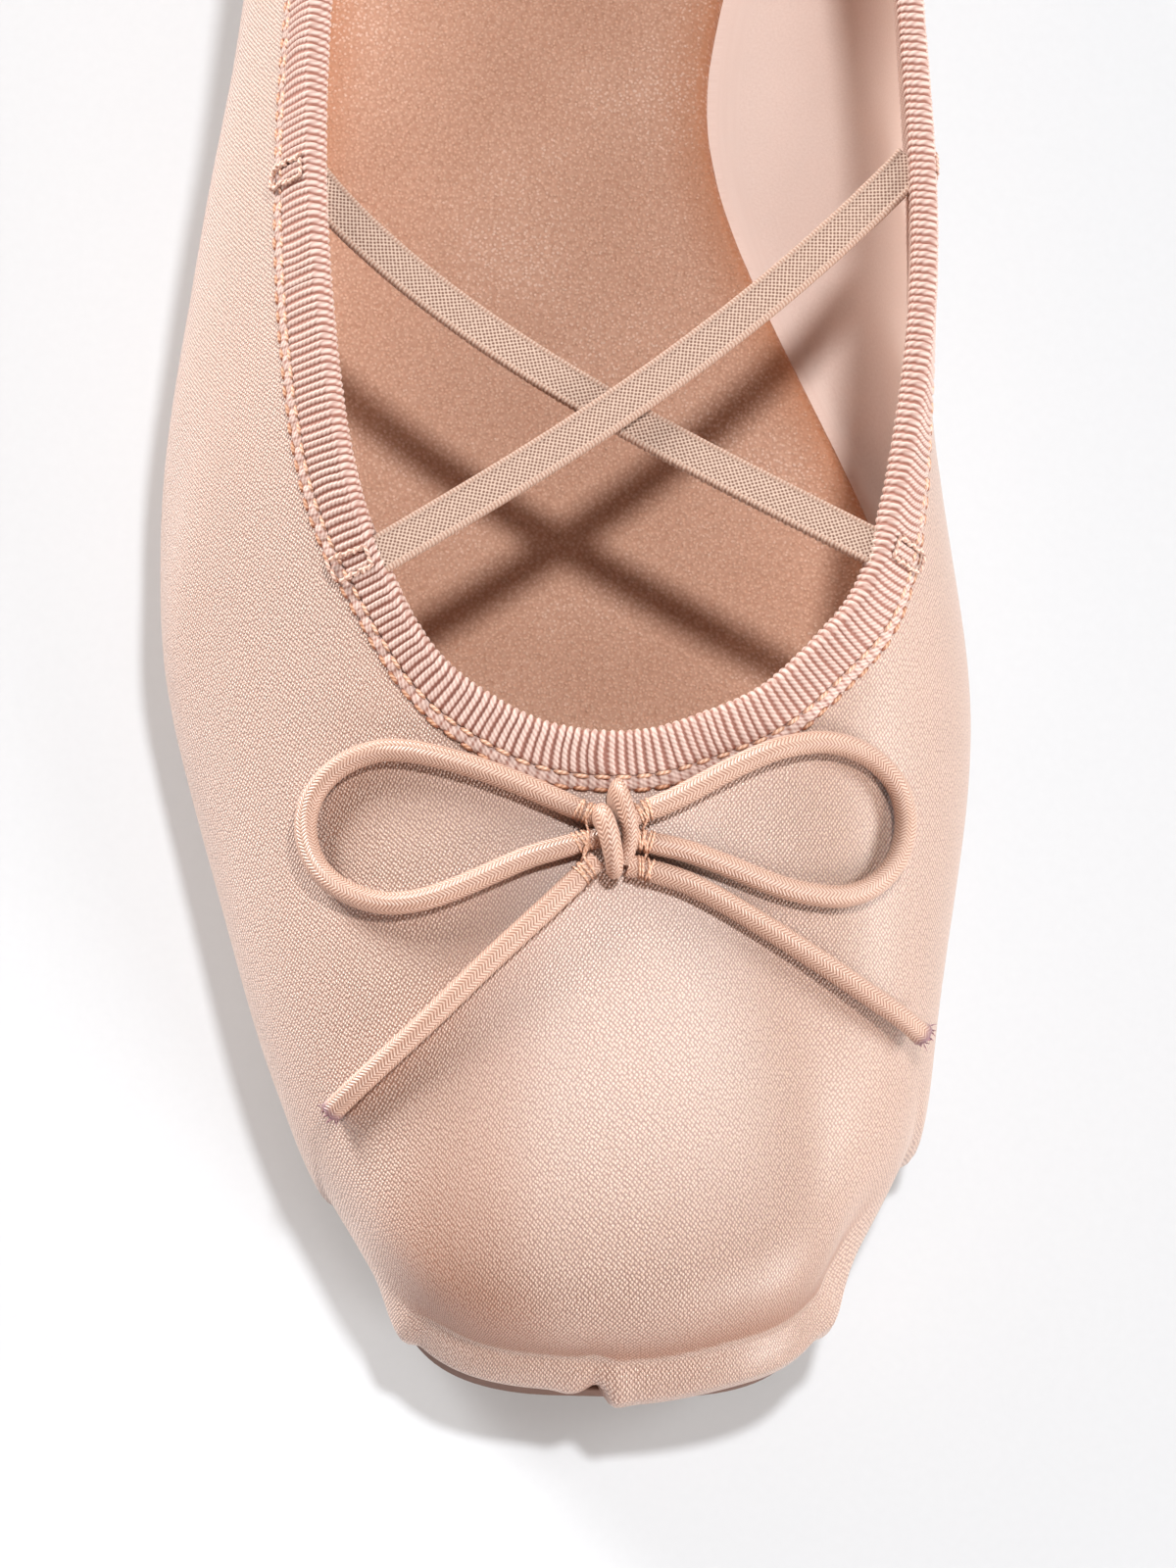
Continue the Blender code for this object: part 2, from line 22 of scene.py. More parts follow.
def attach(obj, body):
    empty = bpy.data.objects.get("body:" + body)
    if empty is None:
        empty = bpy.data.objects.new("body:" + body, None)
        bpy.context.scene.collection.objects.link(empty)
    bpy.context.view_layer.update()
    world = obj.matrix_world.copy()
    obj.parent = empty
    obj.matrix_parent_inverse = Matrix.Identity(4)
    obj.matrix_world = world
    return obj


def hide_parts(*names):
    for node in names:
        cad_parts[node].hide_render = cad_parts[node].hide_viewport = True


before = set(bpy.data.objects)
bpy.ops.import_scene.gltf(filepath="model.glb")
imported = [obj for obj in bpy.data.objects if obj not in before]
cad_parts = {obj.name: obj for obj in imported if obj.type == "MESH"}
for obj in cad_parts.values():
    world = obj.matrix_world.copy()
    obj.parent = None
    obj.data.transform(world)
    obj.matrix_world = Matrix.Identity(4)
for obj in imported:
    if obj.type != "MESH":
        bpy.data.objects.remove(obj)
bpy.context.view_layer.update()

LOG = logging.getLogger("ballet_flat")
MM = 0.001
MAPPING = "fabric"      # the UV map that holds each cloth's own millimetres
WAVE = 2 * math.pi / 20  # a Wave texture's period at scale 1
BODY = "root"
Array = np.ndarray
Pair = tuple[float, float]
Triple = tuple[float, float, float]


class Slot(Enum):
    """The material slots."""

    SATIN = "satin"
    GROSGRAIN = "grosgrain"
    ELASTIC = "elastic"
    CORD = "cord"
    SOCK_LEATHER = "sock_leather"
    SOLE_RUBBER = "sole_rubber"


# Shared tools ---------------------------------------------------------------------

def srgb(code: str) -> tuple[float, float, float, float]:
    """Turns an sRGB hex colour into a linear one.

    Args:
        code: Six hex digits.

    Returns:
        Red, green, blue and alpha, linear.
    """
    parts = [int(code[i:i + 2], 16) / 255 for i in (0, 2, 4)]
    linear = [p / 12.92 if p <= 0.04045 else ((p + 0.055) / 1.055) ** 2.4 for p in parts]
    return (*linear, 1.0)


def feed(node: Node, values: dict) -> None:
    """Sets a node's inputs, or links them to what feeds them.

    Args:
        node: The node.
        values: For each input's name or number, its value, the socket that feeds it, or
            the node whose first output in use does.
    """
    for key, value in values.items():
        if isinstance(value, Node):
            value = next(output for output in value.outputs if output.enabled)
        if isinstance(value, NodeSocket):
            node.id_data.links.new(value, node.inputs[key])
        else:
            node.inputs[key].default_value = value


def add_node(tree: NodeTree, kind: str, values: dict | None = None,
             **settings: object) -> Node:
    """Adds a shader node with its settings, its inputs' values and its links.

    Args:
        tree: The material's node tree.
        kind: The node's type, without its ShaderNode prefix.
        values: What its inputs are fed.
        settings: The node's own properties.

    Returns:
        The new node.
    """
    made = tree.nodes.new("ShaderNode" + kind)
    for name, value in settings.items():
        setattr(made, name, value)
    feed(made, values or {})
    return made


def linked(name: str, data: ID) -> Object:
    """Makes an object of a mesh, light or camera, and links it into the scene."""
    made = bpy.data.objects.new(name, data)
    bpy.context.scene.collection.objects.link(made)
    return made


def smooth(share: Array | float) -> Array:
    """0 to 1 with level ends."""
    share = np.clip(share, 0.0, 1.0)
    return share * share * (3 - 2 * share)


def unit(vectors: Array) -> Array:
    """Vectors along the last axis, brought to length 1."""
    return vectors / np.maximum(np.linalg.norm(vectors, axis=-1, keepdims=True), 1e-9)


def cloth_grid(along: Array, across: Array) -> Array:
    """The flat cloth's places for a grid, from each row's and each column's distance."""
    return np.stack(np.broadcast_arrays(along[:, None], across[None, :]), axis=-1)


def finished(mesh: Mesh, coords: Array, finish: "Finish") -> Object:
    """Makes a smooth object of a mesh.

    Args:
        mesh: The mesh.
        coords: The cloth's millimetres at each face's corners.
        finish: What it is made of.

    Returns:
        The linked object.
    """
    layer = mesh.uv_layers.new(name=MAPPING)
    layer.uv.foreach_set("vector", coords.astype(np.float32).ravel())
    mesh.shade_smooth()
    mesh.materials.append(finish.material())
    return linked(mesh.name, mesh)


def lofted(name: str, points: Array, mapped: Array, finish: "Finish",
           close_rows: bool = False, close_cols: bool = False, caps: bool = False,
           sharp: float = 50.0) -> Object:
    """Makes a mesh of quads over a grid of points.

    Args:
        name: The piece's name.
        points: Rows by columns by 3, in millimetres.
        mapped: Rows by columns by 2 in the cloth's millimetres, with one more row or
            column where the grid closes on itself.
        finish: What the piece is made of.
        close_rows: The last row joins the first.
        close_cols: The last column joins the first.
        caps: The first and last rows are closed to a point in their middle.
        sharp: Edges that bend by more degrees than this stay sharp.

    Returns:
        The linked object.
    """
    rows, cols = points.shape[:2]
    index = np.arange(rows * cols).reshape(rows, cols)
    spots = np.arange(mapped.shape[0] * mapped.shape[1]).reshape(mapped.shape[:2])
    if close_rows:
        index = np.vstack([index, index[:1]])
    if close_cols:
        index = np.hstack([index, index[:, :1]])

    def corners(grid: Array) -> Array:
        """Four corner numbers for each quad."""
        return np.stack([grid[:-1, :-1], grid[1:, :-1], grid[1:, 1:], grid[:-1, 1:]],
                        axis=-1).reshape(-1, 4)

    verts = points.reshape(-1, 3) * MM
    quads, places = corners(index).tolist(), corners(spots).ravel()
    coords = mapped.reshape(-1, 2)[places].tolist()
    if caps:
        ends = points[[0, -1]].mean(axis=1) * MM
        verts = np.vstack([verts, ends])
        for end, row in enumerate((0, rows - 1)):
            middle = rows * cols + end
            for j in range(index.shape[1] - 1):
                quads.append([index[row, j], index[row, j + 1], middle])
                near, far = mapped[row, j], mapped[row, j + 1]
                coords += [near.tolist(), far.tolist(), ((near + far) / 2).tolist()]
    mesh = bpy.data.meshes.new(name)
    mesh.from_pydata(verts.tolist(), [], quads)
    piece = finished(mesh, np.array(coords), finish)
    facing = bmesh.new()
    facing.from_mesh(mesh)
    bmesh.ops.recalc_face_normals(facing, faces=facing.faces)
    facing.to_mesh(mesh)
    facing.free()
    mesh.set_sharp_from_angle(angle=math.radians(sharp))
    return piece


def paint(piece: Object, name: str, values: Array) -> None:
    """Stores a value from 0 to 1 at each point of a piece, for its finish to read.

    Args:
        piece: The piece.
        name: The attribute's name.
        values: One number for each vertex, or fewer: the rest stay 0.
    """
    full = np.zeros(len(piece.data.vertices), np.float32)
    full[:values.size] = values.ravel()
    piece.data.attributes.new(name, "FLOAT", "POINT").data.foreach_set("value", full)


def place(piece: Object, slot: Slot, *stands_for: str) -> Object:
    """Rides a piece on the shoe and hides the solids that it stands for.

    Args:
        piece: The piece.
        slot: The material slot; not used.
        stands_for: The solids that it replaces.

    Returns:
        The piece.
    """
    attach(piece, BODY)
    if stands_for:
        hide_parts(*stands_for)
    LOG.info("%s: %d faces", piece.name, len(piece.data.polygons))
    return piece


def tube_rings(lines: Array, wide: Array | float, tall: Array | float,
               up: Array, sides: int) -> Array:
    """Rings of points round centre lines.

    Args:
        lines: Strands by points by 3.
        wide: Half the width across the line, for each point or all.
        tall: Half the height, for each point or all.
        up: The way that the height points, which no line follows.
        sides: How many points a ring has.

    Returns:
        Strands by points by sides by 3.
    """
    ahead = unit(np.gradient(lines, axis=-2))
    across = unit(np.cross(ahead, up))
    lift = np.cross(across, ahead)
    turn = np.arange(sides) / sides * 2 * math.pi
    wide, tall = (np.asarray(half, float)[..., None, None] for half in (wide, tall))
    return (lines[..., None, :] + wide * np.cos(turn)[:, None] * across[..., None, :]
            + tall * np.sin(turn)[:, None] * lift[..., None, :])


def run_length(line: Array) -> Array:
    """Distance from the start to each point of a line."""
    steps = np.linalg.norm(np.diff(line, axis=-2), axis=-1)
    return np.concatenate([np.zeros_like(steps[..., :1]), np.cumsum(steps, axis=-1)], axis=-1)


def respaced(line: Array, step: float) -> Array:
    """The same line with points at even distances of about step."""
    run = run_length(line)
    at = np.linspace(0, run[-1], max(2, round(run[-1] / step) + 1))
    return np.column_stack([np.interp(at, run, line[:, k]) for k in range(line.shape[1])])


def through(places: Sequence, between: int) -> Array:
    """A smooth line through places.

    Args:
        places: The points.
        between: How many points are laid between each two of them.

    Returns:
        The line's points.
    """
    places = np.array(places, float)
    before = np.vstack([2 * places[0] - places[1], places, 2 * places[-1] - places[-2]])
    line = []
    for i in range(len(places) - 1):
        a, b, c, d = before[i:i + 4]
        for t in np.arange(between + 1) / (between + 1):
            line.append(0.5 * (2 * b + (c - a) * t + (2 * a - 5 * b + 4 * c - d) * t ** 2
                               + (3 * b - a - 3 * c + d) * t ** 3))
    return np.array(line + [places[-1]])


class Rest:
    """Finds how high a ball lies on the pieces under it."""

    ABOVE = 200.0               # where its rays start, over everything
    RINGS = (0.4, 0.7, 0.95)    # where the ball is tried, as shares of its radius

    def __init__(self, pieces: Sequence[Object]) -> None:
        """Reads the pieces' meshes."""
        graph = bpy.context.evaluated_depsgraph_get()
        self.trees = [BVHTree.FromObject(piece, graph) for piece in pieces]

    def height(self, x: float, y: float, radius: float) -> float:
        """Height of the ball's middle.

        Args:
            x: Place across.
            y: Place along.
            radius: The ball's.

        Returns:
            Its height in millimetres.
        """
        turns = np.linspace(0, 2 * math.pi, 8, endpoint=False)
        spread = [(0.0, 0.0)] + [
            (share * radius * math.cos(turn), share * radius * math.sin(turn))
            for share in self.RINGS for turn in turns]
        reached = []
        for dx, dy in spread:
            start = Vector((x + dx, y + dy, self.ABOVE)) * MM
            for tree in self.trees:
                point = tree.ray_cast(start, Vector((0, 0, -1)))[0]
                if point:
                    reached.append(point.z / MM + math.sqrt(radius ** 2 - dx ** 2 - dy ** 2))
        return max(reached)

    def lay(self, plan: Array, radius: float, eased: int = 3) -> Array:
        """Lays a line on what lies under it.

        Args:
            plan: Points across and along.
            radius: The line's thickness from its middle.
            eased: How many times its dips are drawn straight.

        Returns:
            The line's points.
        """
        heights = np.array([self.height(x, y, radius) for x, y in plan])
        for _ in range(eased):
            heights[1:-1] = np.maximum(heights[1:-1], (heights[:-2] + heights[2:]) / 2)
        return np.column_stack([plan, heights])


# Finishes -------------------------------------------------------------------------

@dataclass(frozen=True)
class Finish:
    """A finish: one Principled shader, whose constants are its material's own values."""

    name: str
    roughness: float = 0.5
    ior: float = 1.5
    sheen: float = 0.0
    sheen_roughness: float = 0.4
    sheen_tint: str = "ffffff"
    anisotropy: float = 0.0
    gloss_turn: float = 0.0     # the way that the gloss stretches, in whole turns
    specular: float = 0.5
    coat: float = 0.0
    coat_roughness: float = 0.4

    def material(self) -> bpy.types.Material:
        """The finish's material, made once."""
        made = bpy.data.materials.get(self.name)
        if made:
            return made
        made = bpy.data.materials.new(self.name)
        made.use_nodes = True
        shader = made.node_tree.nodes["Principled BSDF"]
        feed(shader, {
            "Roughness": self.roughness, "IOR": self.ior, "Sheen Weight": self.sheen,
            "Sheen Roughness": self.sheen_roughness, "Sheen Tint": srgb(self.sheen_tint),
            "Anisotropic": self.anisotropy, "Anisotropic Rotation": self.gloss_turn,
            "Specular IOR Level": self.specular, "Coat Weight": self.coat,
            "Coat Roughness": self.coat_roughness})
        self.dress(made.node_tree, shader)
        return made

    def dress(self, tree: NodeTree, shader: Node) -> None:
        """Adds the finish's pattern; each finish has its own."""
        raise NotImplementedError


@dataclass(frozen=True)
class Satin(Finish):
    """Polyester satin, woven in long floats: fine pale dots of thread, partly painted glints,
    on a rosier ground, with a soft gloss that stretches across the floats."""

    ground: str = "99644a"
    worn: str = "8e5b42"
    # the floats' colour: partly their own, partly painted glints on their tops
    float_thread_and_glint: str = "d8b197"
    # painted shade for the toe's folds, the band over its hollow and the pocket
    tucked: str = "995d3d"
    painted_deep_shade: str = "2e150c"      # painted deep shade, where a fold closes on itself
    painted_gloss_shade: str = "5a4438"        # painted shade on the gloss in a fold, as a specular tint
    pitch: float = 0.36         # threads lie closer; drawn at this to show
    float_length: float = 0.44
    slant: float = 38.0         # degrees from the cloth's width

    def dress(self, tree: NodeTree, shader: Node) -> None:
        """Weave, tone, and painted shade in the toe's folds, hollow band and pocket.

        Args:
            tree: The material's nodes.
            shader: Its Principled node.
        """
        cloth = add_node(tree, "UVMap", uv_map=MAPPING)
        laid = add_node(tree, "Mapping", {
            "Vector": cloth, "Rotation": (0, 0, math.radians(self.slant)),
            "Scale": (1 / self.pitch, 1 / self.float_length, 1)})
        floats = add_node(tree, "TexVoronoi", {
            "Vector": laid, "Scale": 1.0, "Randomness": 0.32}, voronoi_dimensions="2D")
        hump = add_node(tree, "MapRange", {
            "Value": floats, 1: 0.1, 2: 0.6, 3: 1.0, 4: 0.0}, interpolation_type="SMOOTHSTEP")
        place_of = add_node(tree, "TexCoord")
        tone = add_node(tree, "TexNoise", {
            "Vector": place_of.outputs["Object"], "Scale": 42.0, "Detail": 3.0,
            "Roughness": 0.55})
        toned = add_node(tree, "MapRange", {"Value": tone, 1: 0.35, 2: 0.65})
        ground = add_node(tree, "Mix", {
            0: toned, 6: srgb(self.worn), 7: srgb(self.ground)}, data_type="RGBA")
        share = add_node(tree, "Math", {0: hump, 1: 0.95}, operation="MULTIPLY")
        woven = add_node(tree, "Mix", {
            0: share, 6: ground, 7: srgb(self.float_thread_and_glint)}, data_type="RGBA")
        # Painted shade: a stored value darkens the toe's folds, hollow band and pocket, and
        # dims their gloss
        fold = add_node(tree, "Attribute", attribute_name="tucked")
        shaded = add_node(tree, "Mix", {
            0: fold.outputs["Fac"], 6: woven, 7: srgb(self.tucked)}, data_type="RGBA")
        deep = add_node(tree, "MapRange", {"Value": fold.outputs["Fac"], 1: 0.62, 2: 1.0})
        painted_deep_shade = add_node(tree, "Mix", {
            0: deep, 6: shaded, 7: srgb(self.painted_deep_shade)}, data_type="RGBA")
        woven_gloss = add_node(tree, "MapRange", {"Value": hump, 3: 0.68, 4: 0.44})
        gloss = add_node(tree, "Mix", {0: fold.outputs["Fac"], 2: woven_gloss, 3: 0.9})
        gloss_shade_tint = add_node(tree, "Mix", {
            0: fold.outputs["Fac"], 6: srgb("ffffff"), 7: srgb(self.painted_gloss_shade)}, data_type="RGBA")
        relief = add_node(tree, "Bump", {
            "Strength": 1.0, "Distance": 0.14 * MM, "Height": hump})
        along = add_node(tree, "Tangent", direction_type="UV_MAP", uv_map=MAPPING)
        feed(shader, {"Base Color": painted_deep_shade, "Roughness": gloss, "Normal": relief,
                      "Tangent": along, "Specular Tint": gloss_shade_tint})


@dataclass(frozen=True)
class BrushedLining(Finish):
    """Brushed microfibre: a matt, slightly mottled peach nap that is soft at its edges."""

    nap: str = "eedbd2"
    parted: str = "e0c8bd"
    grain: float = 0.35         # a tuft of the nap

    def dress(self, tree: NodeTree, shader: Node) -> None:
        """Nap and mottling.

        Args:
            tree: The material's nodes.
            shader: Its Principled node.
        """
        cloth = add_node(tree, "UVMap", uv_map=MAPPING)
        nap = add_node(tree, "TexNoise", {
            "Vector": cloth, "Scale": 1 / self.grain, "Detail": 4.0, "Roughness": 0.65})
        patch = add_node(tree, "TexNoise", {"Vector": cloth, "Scale": 0.06, "Detail": 1.0})
        both = add_node(tree, "Math", {0: patch, 1: 0.4, 2: nap}, operation="MULTIPLY_ADD")
        share = add_node(tree, "MapRange", {"Value": both, 1: 0.35, 2: 1.05})
        colour = add_node(tree, "Mix", {
            0: share, 6: srgb(self.parted), 7: srgb(self.nap)}, data_type="RGBA")
        relief = add_node(tree, "Bump", {
            "Strength": 0.3, "Distance": 0.08 * MM, "Height": nap})
        feed(shader, {"Base Color": colour, "Normal": relief})


@dataclass(frozen=True)
class Grosgrain(Finish):
    """Grosgrain ribbon, woven with thick wefts: pale twisted ribs, and painted shade in the
    grooves between them.
    """

    rib: str = "dfc8be"
    # painted shade in the grooves between the ribs
    groove: str = "8f5c4d"
    pitch: float = 0.92         # from rib to rib; each is two wefts side by side
    strand: float = 0.4         # the twist of a weft's yarns, drawn coarser to show

    def dress(self, tree: NodeTree, shader: Node) -> None:
        """Painted shade in the ribs' grooves, and the strands twisted in each rib.

        Args:
            tree: The material's nodes.
            shader: Its Principled node.
        """
        height = add_node(tree, "Attribute", attribute_name="rib")
        cloth = add_node(tree, "UVMap", uv_map=MAPPING)
        laid = add_node(tree, "Mapping", {
            "Vector": cloth, "Rotation": (0, 0, math.radians(58))})
        strand = add_node(tree, "TexWave", {
            "Vector": laid, "Scale": WAVE / self.strand, "Distortion": 2.2, "Detail": 2.0,
            "Detail Scale": 1.4})
        halves = add_node(tree, "TexWave", {"Vector": cloth, "Scale": 2 * WAVE / self.pitch})
        uneven = add_node(tree, "Math", {
            0: strand.outputs["Fac"], 1: 0.34, 2: -0.12}, operation="MULTIPLY_ADD")
        twinned = add_node(tree, "Math", {
            0: halves.outputs["Fac"], 1: 0.28, 2: uneven}, operation="MULTIPLY_ADD")
        mixed = add_node(tree, "Math", {
            0: height.outputs["Fac"], 1: 0.7, 2: twinned}, operation="MULTIPLY_ADD")
        share = add_node(tree, "MapRange", {"Value": mixed, 1: 0.26, 2: 1.04})
        colour = add_node(tree, "Mix", {
            0: share, 6: srgb(self.groove), 7: srgb(self.rib)}, data_type="RGBA")
        relief = add_node(tree, "Bump", {
            "Strength": 0.5, "Distance": 0.1 * MM, "Height": twinned})
        feed(shader, {"Base Color": colour, "Normal": relief})


@dataclass(frozen=True)
class KnittedElastic(Finish):
    """Knitted elastic band: pale loops round rows of tiny dark openings, and smooth rolled
    edges."""

    loop: str = "c1a898"
    edge: str = "9c7866"
    opening: str = "6a4839"
    loop_width: float = 0.40    # finer in the hand; drawn at this to show
    loop_length: float = 0.42
    field_half: float = 1.6     # half the knit's width, between the rolled edges

    def dress(self, tree: NodeTree, shader: Node) -> None:
        """Loops over the middle, a plainer roll at both edges.

        Args:
            tree: The material's nodes.
            shader: Its Principled node.
        """
        cloth = add_node(tree, "UVMap", uv_map=MAPPING)
        laid = add_node(tree, "Mapping", {
            "Vector": cloth, "Rotation": (0, 0, math.radians(45)),
            "Scale": (1 / self.loop_length, 1 / self.loop_width, 1)})
        loops = add_node(tree, "TexVoronoi", {
            "Vector": laid, "Scale": 1.0, "Randomness": 0.12}, voronoi_dimensions="2D")
        thread = add_node(tree, "MapRange", {
            "Value": loops, 1: 0.18, 2: 0.52}, interpolation_type="SMOOTHSTEP")
        parts = add_node(tree, "SeparateXYZ", {0: cloth})
        out = add_node(tree, "Math", {0: parts.outputs[1]}, operation="ABSOLUTE")
        rolled = add_node(tree, "MapRange", {
            "Value": out, 1: self.field_half - 0.1, 2: self.field_half + 0.15})
        knit = add_node(tree, "Mix", {
            0: thread, 6: srgb(self.opening), 7: srgb(self.loop)}, data_type="RGBA")
        turns = add_node(tree, "TexWave", {
            "Vector": cloth, "Scale": WAVE / self.loop_length, "Distortion": 1.6,
            "Detail": 2.0, "Detail Scale": 1.5})
        roll = add_node(tree, "Mix", {
            0: turns.outputs["Fac"], 6: srgb(self.edge), 7: srgb(self.loop)},
            data_type="RGBA")
        colour = add_node(tree, "Mix", {0: rolled, 6: knit, 7: roll}, data_type="RGBA")
        relief = add_node(tree, "Bump", {
            "Strength": 0.5, "Distance": 0.1 * MM, "Height": thread})
        feed(shader, {"Base Color": colour, "Normal": relief})


@dataclass(frozen=True)
class BraidedCover(Finish):
    """Round elastic cord in a braided cover: fine herringbone threads with a soft gloss."""

    thread: str = "d2b2a0"
    between: str = "986853"
    cut: str = "84606a"
    pitch: float = 0.42         # from plait to plait along the cord
    columns: int = 12
    around: float = 2.5 * math.pi

    def dress(self, tree: NodeTree, shader: Node) -> None:
        """Herringbone rows along the cord, and a darker frayed cut.

        Args:
            tree: The material's nodes.
            shader: Its Principled node.
        """
        cloth = add_node(tree, "UVMap", uv_map=MAPPING)
        parts = add_node(tree, "SeparateXYZ", {0: cloth})
        column = self.around / self.columns
        turn = add_node(tree, "Math", {0: parts.outputs[1], 1: column}, operation="PINGPONG")
        run = add_node(tree, "Math", {0: turn, 1: 0.8, 2: parts}, operation="MULTIPLY_ADD")
        back = add_node(tree, "CombineXYZ", {0: run})
        rows = add_node(tree, "TexWave", {
            "Vector": back, "Scale": WAVE / self.pitch, "Distortion": 0.0})
        grain = add_node(tree, "TexNoise", {"Vector": cloth, "Scale": 4.0, "Detail": 3.0})
        mixed = add_node(tree, "Math", {
            0: grain, 1: 0.5, 2: rows.outputs["Fac"]}, operation="MULTIPLY_ADD")
        share = add_node(tree, "MapRange", {"Value": mixed, 1: 0.2, 2: 0.95})
        woven = add_node(tree, "Mix", {
            0: share, 6: srgb(self.between), 7: srgb(self.thread)}, data_type="RGBA")
        end = add_node(tree, "Attribute", attribute_name="cut")
        colour = add_node(tree, "Mix", {
            0: end.outputs["Fac"], 6: woven, 7: srgb(self.cut)}, data_type="RGBA")
        relief = add_node(tree, "Bump", {
            "Strength": 0.8, "Distance": 0.08 * MM, "Height": rows.outputs["Fac"]})
        feed(shader, {"Base Color": colour, "Normal": relief})


@dataclass(frozen=True)
class SpunThread(Finish):
    """Spun polyester sewing thread: two twisted plies, a little glossy."""

    ply: str = "ecc9b2"
    between: str = "c9977a"
    # painted shade where the thread goes down into its needle holes
    hole_shade: str = "84492f"
    twist: float = 0.45         # from groove to groove

    def dress(self, tree: NodeTree, shader: Node) -> None:
        """The plies' slanted grooves, and painted shade at the ends by the needle holes.

        Args:
            tree: The material's nodes.
            shader: Its Principled node.
        """
        cloth = add_node(tree, "UVMap", uv_map=MAPPING)
        laid = add_node(tree, "Mapping", {
            "Vector": cloth, "Rotation": (0, 0, math.radians(38))})
        plies = add_node(tree, "TexWave", {
            "Vector": laid, "Scale": WAVE / self.twist, "Distortion": 0.0})
        spun = add_node(tree, "Mix", {
            0: plies.outputs["Fac"], 6: srgb(self.between), 7: srgb(self.ply)},
            data_type="RGBA")
        end = add_node(tree, "Attribute", attribute_name="end")
        colour = add_node(tree, "Mix", {
            0: end.outputs["Fac"], 6: spun, 7: srgb(self.hole_shade)}, data_type="RGBA")
        relief = add_node(tree, "Bump", {
            "Strength": 0.5, "Distance": 0.05 * MM, "Height": plies.outputs["Fac"]})
        feed(shader, {"Base Color": colour, "Normal": relief})


@dataclass(frozen=True)
class PebbledLeather(Finish):
    """Coated leather, embossed with a small pebble: soft highlights on each pebble, part of
    them painted as glints.
    """

    pebble: str = "cea58e"
    valley: str = "ab7d64"
    # painted warm shade near the sock's edge
    rim: str = "ae7048"
    painted_glint: str = "ecd2c4"
    grain: float = 0.5          # a pebble's width

    def dress(self, tree: NodeTree, shader: Node) -> None:
        """Pebbles, their valleys, painted glints on the pebbles, and painted warm shade near
        the edge.

        Args:
            tree: The material's nodes.
            shader: Its Principled node.
        """
        cloth = add_node(tree, "UVMap", uv_map=MAPPING)
        wrinkle = add_node(tree, "TexNoise", {
            "Vector": cloth, "Scale": 0.75 / self.grain, "Detail": 3.0, "Roughness": 0.6})
        pebbles = add_node(tree, "TexVoronoi", {
            "Vector": cloth, "Scale": 1 / self.grain, "Randomness": 1.0},
            voronoi_dimensions="2D")
        dome = add_node(tree, "MapRange", {
            "Value": pebbles, 1: 0.1, 2: 0.5, 3: 1.0, 4: 0.0},
            interpolation_type="SMOOTHSTEP")
        height = add_node(tree, "Math", {
            0: dome, 1: 0.4, 2: wrinkle}, operation="MULTIPLY_ADD")
        patch = add_node(tree, "TexNoise", {"Vector": cloth, "Scale": 0.05, "Detail": 3.0})
        both = add_node(tree, "Math", {
            0: patch, 1: 0.45, 2: height}, operation="MULTIPLY_ADD")
        share = add_node(tree, "MapRange", {"Value": both, 1: 0.45, 2: 1.15})
        grained = add_node(tree, "Mix", {
            0: share, 6: srgb(self.valley), 7: srgb(self.pebble)}, data_type="RGBA")
        # Painted warm shade, stronger towards the sock's edge
        edge = add_node(tree, "Attribute", attribute_name="rim")
        edge_shaded = add_node(tree, "Mix", {
            0: edge.outputs["Fac"], 6: grained, 7: srgb(self.rim)}, data_type="RGBA")
        # Painted glints: a pale colour on pebble tops, gathered in patches
        picked = add_node(tree, "TexNoise", {
            "Vector": cloth, "Scale": 0.9 / self.grain, "Detail": 2.0, "Roughness": 0.7})
        gathered = add_node(tree, "Math", {
            0: patch, 1: 0.9, 2: picked}, operation="MULTIPLY_ADD")
        chosen = add_node(tree, "MapRange", {"Value": gathered, 1: 1.02, 2: 1.16})
        caught = add_node(tree, "Math", {0: dome, 1: chosen}, operation="MULTIPLY")
        faint = add_node(tree, "Math", {0: caught, 1: 0.45}, operation="MULTIPLY")
        colour = add_node(tree, "Mix", {
            0: faint, 6: edge_shaded, 7: srgb(self.painted_glint)}, data_type="RGBA")
        gloss = add_node(tree, "MapRange", {"Value": dome, 3: 0.55, 4: 0.38})
        relief = add_node(tree, "Bump", {
            "Strength": 1.0, "Distance": 0.17 * MM, "Height": height})
        feed(shader, {"Base Color": colour, "Roughness": gloss, "Normal": relief})


@dataclass(frozen=True)
class MouldedRubber(Finish):
    """Moulded brown rubber: matt, faintly speckled, and scuffed a little lighter."""

    body: str = "5e4338"
    scuffed: str = "7a5a4b"

    def dress(self, tree: NodeTree, shader: Node) -> None:
        """Speckle and scuffs.

        Args:
            tree: The material's nodes.
            shader: Its Principled node.
        """
        place_of = add_node(tree, "TexCoord")
        speckle = add_node(tree, "TexNoise", {
            "Vector": place_of.outputs["Object"], "Scale": 1800.0, "Detail": 3.0})
        scuff = add_node(tree, "TexNoise", {
            "Vector": place_of.outputs["Object"], "Scale": 70.0, "Detail": 4.0,
            "Roughness": 0.7})
        both = add_node(tree, "Math", {
            0: speckle, 1: 0.4, 2: scuff}, operation="MULTIPLY_ADD")
        share = add_node(tree, "MapRange", {"Value": both, 1: 0.5, 2: 0.95})
        colour = add_node(tree, "Mix", {
            0: share, 6: srgb(self.body), 7: srgb(self.scuffed)}, data_type="RGBA")
        relief = add_node(tree, "Bump", {
            "Strength": 0.35, "Distance": 0.1 * MM, "Height": speckle})
        feed(shader, {"Base Color": colour, "Normal": relief})


